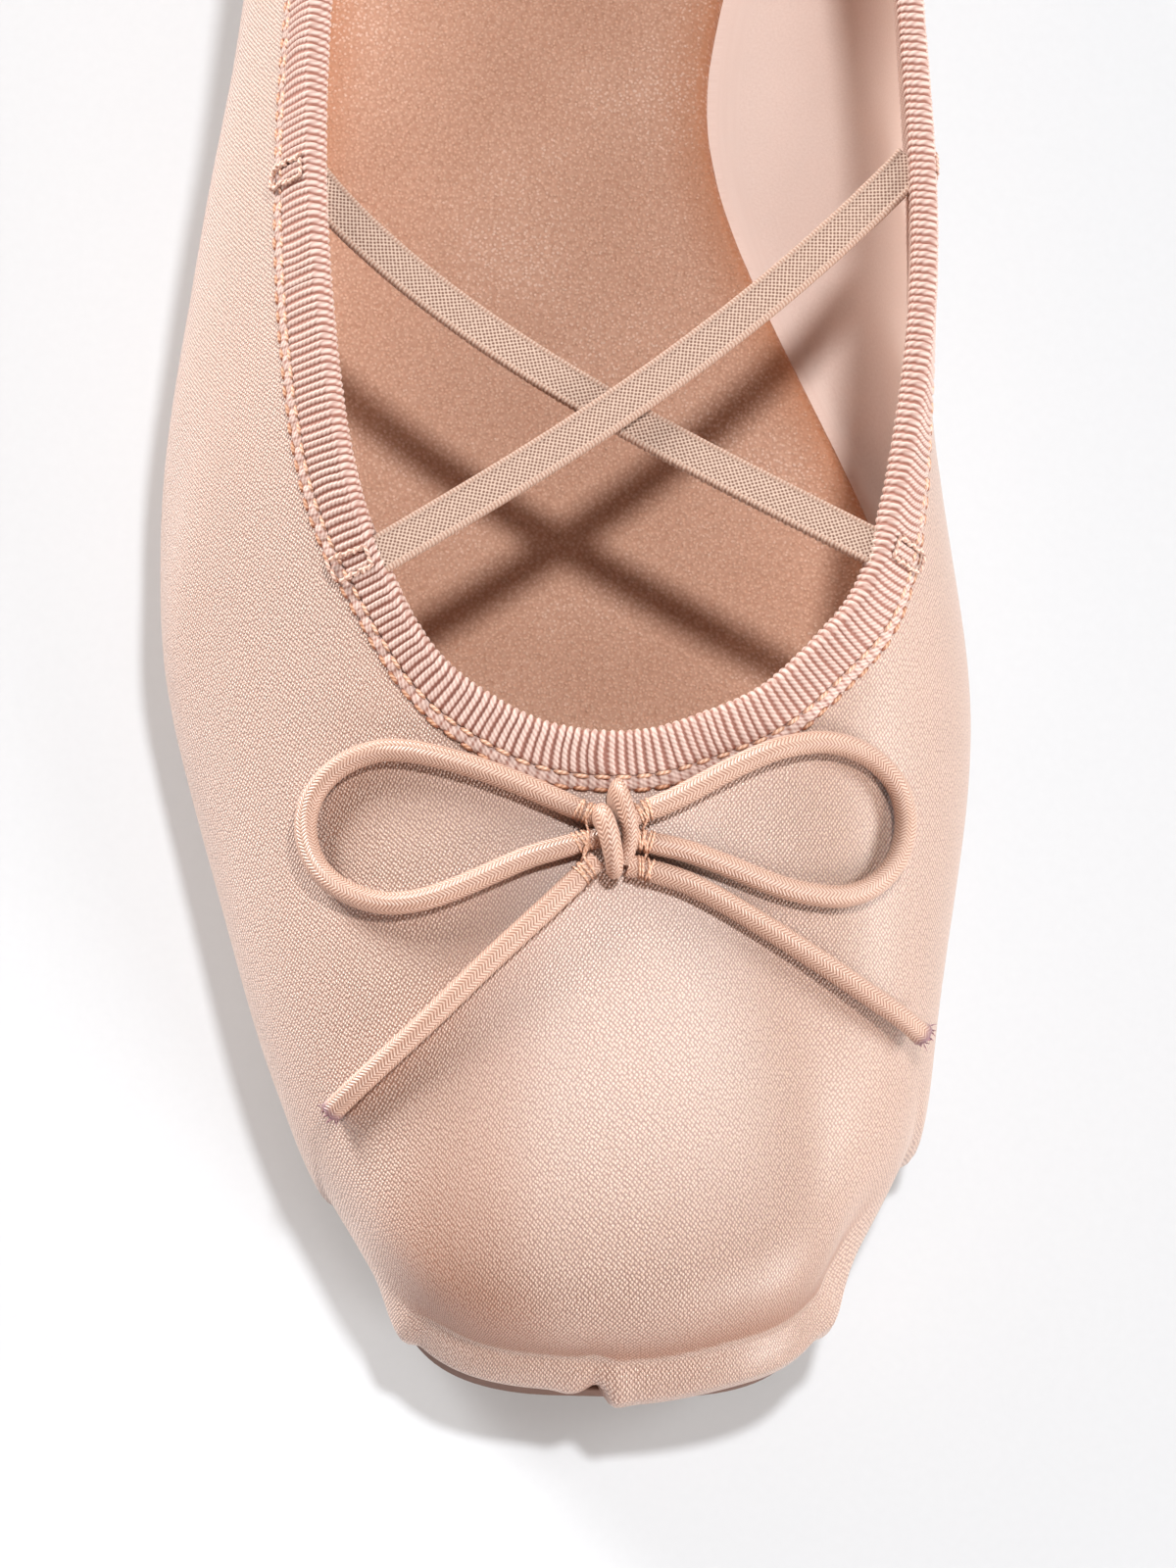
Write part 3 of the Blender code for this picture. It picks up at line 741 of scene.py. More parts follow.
@dataclass(frozen=True)
class PaintedBoard(Finish):
    """Matt white painted board, rolled: a plain pale floor that also gives back light."""

    glow_colour: str = "f8eee6"
    lit: str = "bfc4c9"
    rolled: str = "bbc0c5"
    glow: float = 0.19          # lifts the shadows as a white room does

    def dress(self, tree: NodeTree, shader: Node) -> None:
        """A faint roller grain.

        Args:
            tree: The material's nodes.
            shader: Its Principled node.
        """
        place_of = add_node(tree, "TexCoord")
        grain = add_node(tree, "TexNoise", {
            "Vector": place_of.outputs["Object"], "Scale": 900.0, "Detail": 2.0})
        colour = add_node(tree, "Mix", {
            0: grain, 6: srgb(self.rolled), 7: srgb(self.lit)}, data_type="RGBA")
        feed(shader, {
            "Base Color": colour, "Emission Color": srgb(self.glow_colour),
            "Emission Strength": self.glow})


SATIN = Satin("blush_woven_satin", ior=2.85, sheen=0.12, sheen_roughness=0.45,
              sheen_tint="fff4ea", anisotropy=0.3, gloss_turn=0.25, coat=0.85,
              coat_roughness=0.43)
LINING = BrushedLining("peach_brushed_lining", roughness=0.85, sheen=0.5, sheen_tint="ffe6d8")
RIBBON = Grosgrain("grosgrain_ribbon", roughness=0.55, sheen=0.25, sheen_tint="ffe8dd")
ELASTIC = KnittedElastic("knitted_elastic", roughness=0.7, sheen=0.25, sheen_tint="ffe9da")
BRAID = BraidedCover("braided_cord_cover", roughness=0.38, sheen=0.08, sheen_tint="ffe9de",
                     specular=0.75)
THREAD = SpunThread("spun_sewing_thread", roughness=0.5)
EDGE_THREAD = SpunThread("peach_sewing_thread", roughness=0.5, ply="d8ac90", between="a9714f")
TACK_THREAD = SpunThread("cream_tack_thread", roughness=0.5, ply="e8cfc0", between="bd9381")
FRAYED = SpunThread("frayed_cord_threads", roughness=0.7, ply="b98f92", between="7c5a64")
LEATHER = PebbledLeather("pebbled_sock_leather", roughness=0.48, specular=0.3)
RUBBER = MouldedRubber("moulded_brown_rubber", roughness=0.65)
BOARD = PaintedBoard("matt_white_board", roughness=0.9, specular=0.2)


# The last -------------------------------------------------------------------------

class Section(NamedTuple):
    """Where the last's outline and the topline are, as shares of its width and length."""

    name: str
    across: float
    along: float
    tuck: float                 # how far the feather line lies inside the outline, mm
    crest: float                # how high the wall is at its fullest, as a share
    top_across: float
    top_along: float


SECTIONS = (
    Section("toe_tip", 0.000, 0.000, 2.2, 0.84, 0.000, 0.269),
    Section("corner_lateral", -0.228, 0.018, 2.2, 0.84, -0.111, 0.273),
    Section("toe_side_lateral", -0.296, 0.056, 2.4, 0.82, -0.168, 0.283),
    Section("little_toe", -0.370, 0.103, 2.8, 0.76, -0.226, 0.298),
    Section("forepart_lateral", -0.478, 0.218, 3.0, 0.60, -0.309, 0.345),
    Section("ball_lateral", -0.570, 0.379, 3.0, 0.44, -0.371, 0.416),
    Section("waist_front_lateral", -0.553, 0.484, 5.0, 0.48, -0.397, 0.500),
    Section("waist_lateral", -0.503, 0.597, 7.0, 0.46, -0.401, 0.597),
    Section("heel_front_lateral", -0.450, 0.742, 4.5, 0.48, -0.368, 0.742),
    Section("heel_lateral", -0.363, 0.875, 3.0, 0.50, -0.298, 0.867),
    Section("heel_corner_lateral", -0.236, 0.964, 3.0, 0.50, -0.195, 0.944),
    Section("heel_back", -0.017, 1.000, 3.5, 0.50, -0.017, 0.977),
    Section("heel_corner_medial", 0.202, 0.964, 3.0, 0.50, 0.160, 0.944),
    Section("heel_medial", 0.320, 0.875, 4.5, 0.50, 0.263, 0.867),
    Section("heel_front_medial", 0.356, 0.742, 12.0, 0.50, 0.334, 0.742),
    Section("waist_medial", 0.372, 0.597, 18.5, 0.52, 0.368, 0.597),
    Section("waist_front_medial", 0.382, 0.484, 7.2, 0.52, 0.375, 0.492),
    Section("ball_medial", 0.455, 0.339, 2.4, 0.52, 0.320, 0.364),
    Section("forepart_medial", 0.418, 0.202, 3.0, 0.62, 0.247, 0.319),
    Section("big_toe", 0.348, 0.097, 2.8, 0.78, 0.160, 0.290),
    Section("toe_side_medial", 0.293, 0.058, 2.4, 0.82, 0.116, 0.282),
    Section("corner_medial", 0.242, 0.022, 2.2, 0.84, 0.075, 0.276),
)


class Plate(NamedTuple):
    """A grid of places over a flat plate of the last's plan shape."""

    x: Array
    y: Array
    share: Array                # each column's place, from -1 to 1
    inside: Array               # how far each place lies inside the nearer side
    ends: Pair                  # where the plate begins and ends along the last


@dataclass
class Last:
    """The form that the upper is pulled over.

    A place on its wall is (u, t): u is the distance round the outline from the toe's tip,
    to the lateral side, and t runs from 0 at the feather line to 1 at the topline.
    """

    length: float = 248.0
    ball_width: float = 89.0
    heel_behind: float = 30.0   # how far the heel's back is behind the origin
    toe_spring: float = 6.5
    toe_roll_end: float = 56.0
    sole: float = 3.0
    heel_lift: float = 6.5
    arch: Pair = (108.0, 172.0)
    throat_height: float = 38.5
    side_height: float = 41.0
    back_height: float = 57.0
    throat_at: float = 64.0
    sides_from: float = 112.0
    rise_from: float = 152.0
    room: float = 0.5           # between the solids of two pieces
    swell: float = 2.4          # how far the wall bellies out low down
    belly_share: float = 0.18
    shoulder: Pair = (0.9, 0.075)           # its bulge: least, and with the inset
    crown_drop: float = 8.0
    crown_reach: float = 0.5
    wall_thickness: float = 1.3
    end_gap: float = 0.02       # how far a plate's end rows stay inside it
    toe_arc: float = 50.0       # how far the toe's fine steps reach each way
    heel_arc: float = 165.0     # where the heel's coarse ones begin
    around: float = field(init=False)
    step: Array = field(init=False)         # from each section to the next
    knots: Array = field(init=False)        # the sections' distances round
    values: Array = field(init=False)       # the sections' measures
    second: Array = field(init=False)       # the curves' bends at the sections

    def __post_init__(self) -> None:
        """Draws the smooth closed curves through the sections."""
        rows = np.array([row[1:] for row in SECTIONS])
        size = (self.ball_width, self.length)
        outline = rows[:, :2] * size
        chords = np.linalg.norm(np.roll(outline, -1, axis=0) - outline, axis=1)
        self.around = float(chords.sum())
        self.step = chords
        self.knots = np.concatenate([[0], np.cumsum(chords)[:-1]])
        self.values = np.column_stack([outline, rows[:, 2:4], rows[:, 4:] * size])
        before = np.roll(chords, 1)
        slope = (np.roll(self.values, -1, axis=0) - self.values) / chords[:, None]
        system = (np.diag(2 * (before + chords)) + np.roll(np.diag(before), -1, axis=1)
                  + np.roll(np.diag(chords), 1, axis=1))
        self.second = np.linalg.solve(system, 6 * (slope - np.roll(slope, 1, axis=0)))

    @property
    def toe(self) -> float:
        """Where the toe's tip is along the frame's Y."""
        return self.heel_behind - self.length

    def once_round(self, count: int) -> Array:
        """Even places all the way round, from the heel's back to itself."""
        return np.linspace(-self.around / 2, self.around / 2, count)

    def wrapped(self, u: Array) -> Array:
        """Distances round the outline, brought to within half of it either way."""
        return np.mod(u + self.around / 2, self.around) - self.around / 2

    def ring(self, u: Array) -> Array:
        """Outline, tuck, crest and topline at u.

        Args:
            u: Distances round the outline.

        Returns:
            Six columns: across, along, tuck, crest, top across, top along.
        """
        u = np.mod(np.asarray(u, float), self.around)
        i = np.searchsorted(self.knots, u, side="right") - 1
        j = (i + 1) % len(self.knots)
        h = self.step[i][..., None]
        a = (u - self.knots[i])[..., None] / h
        b = 1 - a
        bend = (b ** 3 - b) * self.second[i] + (a ** 3 - a) * self.second[j]
        return b * self.values[i] + a * self.values[j] + bend * h * h / 6

    def stations(self, fine: float, coarse: float) -> Array:
        """Places round the outline, close together at the toe.

        Args:
            fine: The step at the toe.
            coarse: The step at the heel.

        Returns:
            Distances round the outline.
        """
        u = self.once_round(4001)
        share = np.clip((np.abs(u) - self.toe_arc) / (self.heel_arc - self.toe_arc), 0, 1)
        density = 1 / (fine + (coarse - fine) * share)
        passed = np.concatenate(
            [[0], np.cumsum((density[1:] + density[:-1]) / 2 * np.diff(u))])
        count = round(passed[-1])
        return np.interp(np.arange(count) / count * passed[-1], passed, u)

    def outline(self, u: Array) -> tuple[Array, Array]:
        """The outline's plan at u, and its outward direction."""
        ahead = unit(self.ring(u + 0.5)[..., :2] - self.ring(u - 0.5)[..., :2])
        return self.ring(u)[..., :2], np.stack([-ahead[..., 1], ahead[..., 0]], axis=-1)

    def plan_ring(self, u: Array, inset: Array | float) -> Array:
        """A closed plan line, inset from the feather line: across and along."""
        here, outward = self.outline(u)
        return here - outward * (self.ring(u)[..., 2:3] + inset)

    def plate(self, inset: float, rows: int, cols: int,
              start: float | None = None) -> Plate:
        """A grid over a plate of the plan's shape, close together at its edges.

        Args:
            inset: How far its edge lies inside the feather line.
            rows: How many rows it has along the last.
            cols: How many columns it has.
            start: Where it is cut off square in front, if it is.

        Returns:
            The grid.
        """
        ring = self.plan_ring(np.linspace(0, self.around, 4001), inset)
        back, front = ring[:, 1].argmax(), ring[:, 1].argmin()
        if front > back:
            front = 0
        low, high = max(ring[front, 1], ring[:, 1].min()), ring[back, 1]
        gap = self.end_gap
        if start is None:
            ease = (1 - np.cos(np.linspace(0, math.pi, rows))) / 2
            along = low + gap + ease * (high - low - 2 * gap)
        else:
            ease = np.sin(np.linspace(0, math.pi / 2, rows))
            along = start + ease * (high - start - gap)
        edges = []
        for side in (ring[front:back + 1], ring[back:]):
            side = side[np.argsort(side[:, 1])]
            edges.append(np.interp(along, side[:, 1], side[:, 0])[:, None])
        left, right = edges
        share = -np.cos(np.linspace(0, math.pi, cols))
        x = (left + right) / 2 + (right - left) / 2 * share
        y = np.broadcast_to(along[:, None], x.shape)
        return Plate(x, y, share, np.minimum(x - left, right - x), (low, high))

    def sole_bottom(self, along: Array) -> Array:
        """Height of the outsole's underside: toe spring, flat forepart, arch, heel seat."""
        toe = self.toe_spring * np.clip(1 - along / self.toe_roll_end, 0, 1) ** 2
        low, high = self.arch
        return toe + self.heel_lift * smooth((along - low) / (high - low))

    def feather_height(self, along: Array) -> Array:
        """Height of the upper's underside."""
        return self.sole_bottom(along) + self.sole + self.room

    def topline_height(self, along: Array) -> Array:
        """Height of the upper's top edge: throat, sides, and the rise to the back."""
        side = (self.side_height - self.throat_height) * smooth(
            (along - self.throat_at) / (self.sides_from - self.throat_at))
        back = (self.back_height - self.side_height) * smooth(
            (along - self.rise_from) / (self.length - self.rise_from))
        return self.throat_height + side + back

    def lifted(self, plan: Array, height: Array | float) -> Array:
        """Points in the frame from across, along and a height."""
        raised = np.broadcast_to(height, plan.shape[:-1])
        return np.stack([plan[..., 0], self.toe + plan[..., 1], raised], axis=-1)

    def wall(self, u: Array, t: Array | float) -> Array:
        """Points of the smooth outer wall.

        Args:
            u: Distances round the outline.
            t: Shares up the wall, of a shape that goes with u's.

        Returns:
            Points in the frame.
        """
        row = self.ring(u)
        here, outward = self.outline(u)
        top = row[..., 4:]
        feather = here - outward * row[..., 2:3]
        low, high = self.feather_height(feather[..., 1]), self.topline_height(top[..., 1])
        inset = np.linalg.norm(top - here, axis=-1, keepdims=True)
        height = row[..., 3] * (high - low)
        base, gain = self.shoulder
        controls = (
            self.lifted(feather, low),
            self.lifted(here + outward * self.swell, low + self.belly_share * height),
            self.lifted(here + outward * (base + gain * inset), low + height),
            self.lifted(top + (here - top) * self.crown_reach, high - self.crown_drop),
            self.lifted(top, high))
        t = np.asarray(t, float)[..., None]
        return sum(math.comb(4, k) * t ** k * (1 - t) ** (4 - k) * p
                   for k, p in enumerate(controls))

    def wall_normal(self, u: Array, t: Array | float) -> Array:
        """Outward normals of the smooth outer wall."""
        du, dt = 0.5, 0.002
        t = np.asarray(t, float)
        across = self.wall(u + du, t) - self.wall(u - du, t)
        up = self.wall(u, np.minimum(t + dt, 1)) - self.wall(u, np.maximum(t - dt, 0))
        return unit(np.cross(up, across))

    def below_topline(self, u: Array, distance: float) -> Array:
        """t at a distance down the wall from the topline, for each u."""
        t = np.linspace(1, 0.5, 41)
        run = run_length(self.wall(u[:, None], t[None, :]))
        return np.array([np.interp(distance, row, t) for row in run])

    def under_edge(self, u: Array, distance: float, offset: float) -> Array:
        """Points on the wall a distance below the topline, offset along its normal."""
        t = self.below_topline(u, distance)
        return self.wall(u, t) + self.wall_normal(u, t) * offset

    def squared(self, u: Array) -> Array:
        """How far u moves with each millimetre below the topline, for a line that leaves
        the topline squarely."""
        level = np.ones_like(u)
        ahead = self.wall(u + 0.5, level) - self.wall(u - 0.5, level)
        speed = np.linalg.norm(ahead, axis=-1)
        down = unit(self.wall(u, level * 0.96) - self.wall(u, level))
        return -(down * ahead).sum(axis=-1) / speed ** 2

    def over_edge(self, u: Array, offset: float, rise: float) -> Array:
        """Points past the topline, offset outwards and up the wall's way."""
        top = self.wall(u, np.ones_like(u))
        up = unit(top - self.wall(u, np.full_like(u, 0.98)))
        return top + self.wall_normal(u, np.ones_like(u)) * offset + up * rise


# The upper ------------------------------------------------------------------------

class Fold(NamedTuple):
    """A fold gathered in at the toe. at is the distance round the outline from the toe's
    tip, to the medial side; front and rear are its widths to the toe and to the heel."""

    name: str
    at: float
    swell: float
    front: float
    rear: float
    height: float
    lean: float


class Crease(NamedTuple):
    """A soft ridge or trough between two places: round to the medial side, and t."""

    start: Pair
    end: Pair
    width: float
    lift: float


class Form(NamedTuple):
    """A swell or hollow that runs round the toe, and how far it reaches down and up from
    its middle."""

    lift: float
    height: float               # of its middle over the feather line
    under: float
    over: float

    def swell(self, above: Array) -> Array:
        """How far it stands out at each height, as a smooth bell."""
        off = above - self.height
        return self.lift * np.exp(-(off / np.where(off > 0, self.over, self.under)) ** 2)


class Reach(NamedTuple):
    """Where a form round the toe begins, is whole and ends, as distances round from the
    toe's tip to the medial side."""

    begin: float
    whole_from: float
    whole_to: float
    end: float


FOLDS = (
    Fold("side_lateral", -41.5, 1.0, 2.2, 12.0, 15.0, -0.2),
    Fold("corner_lateral", -23.5, 1.7, 2.3, 8.0, 13.0, 0.0),
    Fold("centre", 0.6, 2.2, 2.8, 14.0, 12.0, 0.05),
    Fold("corner_medial", 25.5, 1.5, 2.3, 9.0, 13.0, 0.0),
    Fold("side_medial", 48.5, 2.9, 2.6, 14.0, 16.0, 0.2),
)
SATIN_CREASES = (
    Crease((0.9, 0.04), (0.0, 0.24), 1.4, 0.5),
    Crease((-1.9, 0.02), (-1.2, 0.15), 1.0, -2.4),
    Crease((-4.6, 0.02), (-3.4, 0.20), 1.4, 0.45),
    Crease((-24.0, 0.12), (-21.0, 0.34), 2.2, 0.3),
    Crease((26.0, 0.12), (24.0, 0.34), 2.2, 0.3),
    Crease((-100.0, 0.30), (-118.0, 0.62), 7.0, 0.5),
    Crease((-112.0, 0.26), (-132.0, 0.55), 6.0, -0.5),
    Crease((-150.0, 0.20), (-175.0, 0.50), 8.0, 0.5),
    Crease((100.0, 0.25), (125.0, 0.55), 7.0, -0.4),
    Crease((215.0, 0.15), (240.0, 0.55), 9.0, -0.5),
    Crease((-235.0, 0.20), (-258.0, 0.60), 9.0, -0.5),
)
LINING_CREASES = (
    Crease((150.0, 0.85), (176.0, 0.35), 4.0, -1.2),
    Crease((168.0, 0.90), (190.0, 0.45), 4.0, 0.9),
    Crease((186.0, 0.80), (205.0, 0.40), 5.0, -1.0),
    Crease((128.0, 0.70), (150.0, 0.30), 3.6, -0.9),
    Crease((-170.0, 0.80), (-195.0, 0.40), 5.0, -0.8),
)


@dataclass
class Upper:
    """Satin pulled over the last and gathered under the toe, with its brushed lining."""

    last: Last
    satin_thickness: float = 0.55
    lining_thickness: float = 0.6
    margin: float = 9.0
    fine_step: float = 0.6
    coarse_step: float = 3.2
    wall_rows: int = 84
    crowding: float = 1.3       # how much the rows crowd at the feather line
    inner_rows: int = 12
    lining_step: float = 1.6
    lining_rows: int = 40
    lining_low: float = 0.02    # where the lining turns in, as t
    fan: float = 12.0           # how much the flat cloth's sections fan out at the toe
    lip: Form = Form(0.15, 3.0, 1.9, 1.9)
    hollow: Form = Form(-2.3, 8.2, 3.9, 9.0)
    hollow_rise: float = 2.0    # how much higher the hollow lies on the medial side
    rise_from: float = 1.0
    rise_over: float = 14.0
    shoulder: Form = Form(0.7, 16.5, 3.5, 6.0)
    roll_reach: Reach = Reach(-33.0, -18.0, 26.0, 46.0)
    shoulder_reach: Reach = Reach(-48.0, -16.0, 16.0, 50.0)
    back_seam: Pair = (-0.35, 0.9)          # depth, half width
    band_shade: float = 0.62     # how deep the painted shade on the band over the hollow is
    band_reach: float = 4.2
    band_widens: float = 8.5    # how much farther up the painted shade reaches on the lateral side
    widens_from: float = 4.0
    widens_over: float = 13.0
    # painted shade at the front edges of the folds
    fold_shade: float = 0.5
    pocket_shade: float = 1.5    # painted shade in the closed hollow beside the middle fold
    pocket_at: Pair = (-1.8, 1.8)           # round, and up
    pocket_reach: Pair = (1.3, 2.4)

    def side(self, u: Array) -> Array:
        """Distance round from the toe's tip, to the medial side."""
        return -self.last.wrapped(u)

    def folds(self, u: Array, above: Array) -> Array:
        """How far the gathered folds lift the satin.

        Args:
            u: Distances round the outline.
            above: Heights above the feather line.

        Returns:
            Millimetres outwards, level.
        """
        side = self.side(u)
        swell = np.zeros(np.broadcast(side, above).shape)
        for fold in FOLDS:
            off = (side - fold.at - fold.lean * above) * (1 if fold.at > 0 else -1)
            off = off / np.where(off > 0, fold.rear, fold.front)
            ridge = np.cos(np.clip(off, -1, 1) * math.pi / 2) ** 2
            fade = np.clip(1 - above / fold.height, 0, 1) ** 1.5 * smooth((above + 0.6) / 1.6)
            swell += fold.swell * ridge * fade
        return swell

    def held(self, u: Array, reach: Reach) -> Array:
        """How much of a form is there round the toe."""
        side = self.side(u)
        rise = smooth((side - reach.begin) / (reach.whole_from - reach.begin))
        return rise * (1 - smooth((side - reach.whole_to) / (reach.end - reach.whole_to)))

    def over_hollow(self, u: Array, above: Array) -> Array:
        """Heights over the hollow's middle, which rises to the medial side."""
        rise = self.hollow_rise * smooth((self.side(u) - self.rise_from) / self.rise_over)
        return above - self.hollow.height - rise

    def roll(self, u: Array, above: Array) -> Array:
        """The toe's full shoulder, the hollow under it, and the satin's lip over the sole."""
        off = self.over_hollow(u, above)
        low = self.lip.swell(above) + self.hollow.lift * np.where(
            off > 0, 1 - smooth(off / self.hollow.over),
            np.clip(1 + off / self.hollow.under, 0, 1))
        return (low * self.held(u, self.roll_reach)
                + self.shoulder.swell(above) * self.held(u, self.shoulder_reach))

    def creased(self, points: Array, creases: Sequence[Crease]) -> Array:
        """How far creases lift the cloth.

        Args:
            points: Points of the wall.
            creases: The ridges and troughs.

        Returns:
            Millimetres along the wall's normal.
        """
        total = np.zeros(points.shape[:-1])
        for crease in creases:
            ends = [self.last.wall(np.array(-side), np.array(t))
                    for side, t in (crease.start, crease.end)]
            line = ends[1] - ends[0]
            share = ((points - ends[0]) @ line) / (line @ line)
            held = np.clip(share, 0, 1)
            apart = np.linalg.norm(points - (ends[0] + held[..., None] * line), axis=-1)
            taper = 0.35 + 0.65 * np.sin(math.pi * held)
            total += crease.lift * taper * np.exp(-(apart / crease.width) ** 2)
        return total

    def seam(self, u: Array) -> Array:
        """The groove of the seam down the heel's back."""
        depth, half = self.back_seam
        middle = self.last.knots[[s.name for s in SECTIONS].index("heel_back")]
        return depth * np.exp(-(self.last.wrapped(u - middle) / half) ** 2)

    def outside(self, u: Array, t: Array) -> tuple[Array, Array]:
        """The satin's outer face.

        Args:
            u: Distances round the outline, as a column.
            t: Shares up the wall, as a row.

        Returns:
            Points, and the smooth wall's normals.
        """
        points, normal = self.last.wall(u, t), self.last.wall_normal(u, t)
        above = points[..., 2] - points[:, :1, 2]
        _, outward = self.last.outline(u)
        lift = self.roll(u, above) + self.creased(points, SATIN_CREASES) + self.seam(u)
        points[..., :2] += outward * self.folds(u, above)[..., None]
        return points + normal * lift[..., None], normal

    def cloth(self, u: Array, t: Array) -> Array:
        """The flat cloth's millimetres at each place of the wall: its sections are rolled
        out from the topline, so the weave turns with the toe."""
        here, outward = self.last.outline(u)
        top = self.last.ring(u)[..., 4:]
        way = unit(here - top + self.fan * outward)
        down = run_length(self.last.wall(u, t)[:, ::-1])[:, ::-1]
        return top + way * down[..., None]

    def build_satin(self) -> Object:
        """The satin, with its margin turned in under the sock."""
        last = self.last
        u = last.stations(self.fine_step, self.coarse_step)[:, None]
        t = np.linspace(0, 1, self.wall_rows + 1)[None, :] ** self.crowding
        outer, normal = self.outside(u, t)
        picked = np.linspace(self.wall_rows, 0, self.inner_rows).astype(int)
        inner = outer[:, picked] - normal[:, picked] * self.satin_thickness
        turned = last.plan_ring(u, self.margin)
        corner = last.plan_ring(u, self.satin_thickness * 1.6)
        low = last.feather_height(turned[..., 1])
        sections = np.concatenate([
            last.lifted(turned, low), outer, inner,
            last.lifted(corner, last.feather_height(corner[..., 1]) + self.satin_thickness),
            last.lifted(turned, low + self.satin_thickness)], axis=1)
        flat = self.cloth(u, t)
        under = np.broadcast_to(turned, (len(u), 1, 2))
        mapped = np.concatenate([under, flat, flat[:, picked], flat[:, :1], under, under],
                                axis=1)
        mapped = np.concatenate([mapped, mapped[:1]], axis=0)
        piece = lofted("satin_upper", sections, mapped, SATIN, close_rows=True,
                       close_cols=True)
        above = outer[..., 2] - outer[:, :1, 2]
        # Painted shade for the toe's folds, hollow band and pocket, read by the satin's
        # finish
        paint(piece, "tucked", self.tucked(u, above, sections.shape[1]))
        return place(piece, Slot.SATIN, "upper")

    def tucked(self, u: Array, above: Array, width: int) -> Array:
        """How much painted shade darkens the toe's folds, hollow band and pocket, from 0 to
        1.

        Args:
            u: Distances round the outline.
            above: Heights of the outer face over the feather line.
            width: How many points a whole section has.

        Returns:
            A value for each point of each section.
        """
        side = self.side(u)
        (middle, high), (wide, tall) = self.pocket_at, self.pocket_reach
        depth = self.pocket_shade * np.exp(
            -((side - middle) / wide) ** 2 - ((above - high) / tall) ** 2)
        over = self.over_hollow(u, above)
        reach = self.band_reach + self.band_widens * smooth(
            (-side - self.widens_from) / self.widens_over)
        band = np.exp(-(over / reach) ** 2) * smooth((over + 0.2) / 0.5)
        depth = np.maximum(depth, self.band_shade * band * self.held(u, self.roll_reach))
        for fold in FOLDS:
            edge = fold.at - math.copysign(fold.front * 0.9, fold.at)
            depth = np.maximum(depth, self.fold_shade * np.exp(
                -((side - edge) / 0.7) ** 2 - (above / 2.5) ** 2))
        full = np.zeros((len(u), width))
        full[:, 1:1 + above.shape[1]] = depth.clip(0, 1)
        return full

    def build_lining(self) -> Object:
        """The lining, from the topline down and in under the sock."""
        last = self.last
        u = last.stations(self.lining_step, self.coarse_step)[:, None]
        t = np.linspace(1, self.lining_low, self.lining_rows)[None, :]
        points, normal = last.wall(u, t), last.wall_normal(u, t)
        points += normal * self.roll(u, points[..., 2] - points[:, -1:, 2])[..., None]
        lift = self.creased(points, LINING_CREASES) * np.sin(math.pi * t)
        face = points - normal * (last.wall_thickness - lift[..., None])
        back = points - normal * (last.wall_thickness - self.lining_thickness)
        corner = last.plan_ring(u, last.wall_thickness)
        turned = last.plan_ring(u, self.margin - 1)
        low = last.feather_height(corner[..., 1]), last.feather_height(turned[..., 1])
        high = last.wall_thickness
        sections = np.concatenate([
            face,
            last.lifted(corner, low[0] + high), last.lifted(turned, low[1] + high),
            last.lifted(turned, low[1] + high - self.lining_thickness),
            back[:, ::-4]], axis=1)
        flat = self.cloth(u, t[:, ::-1])[:, ::-1]
        tail = np.broadcast_to(turned, (len(u), 3, 2))
        mapped = np.concatenate([flat, tail, flat[:, ::-4], flat[:, :1]], axis=1)
        mapped = np.concatenate([mapped, mapped[:1]], axis=0)
        piece = lofted("brushed_lining", sections, mapped, LINING, close_rows=True,
                       close_cols=True)
        return place(piece, Slot.SATIN)


# Binding and stitches -------------------------------------------------------------

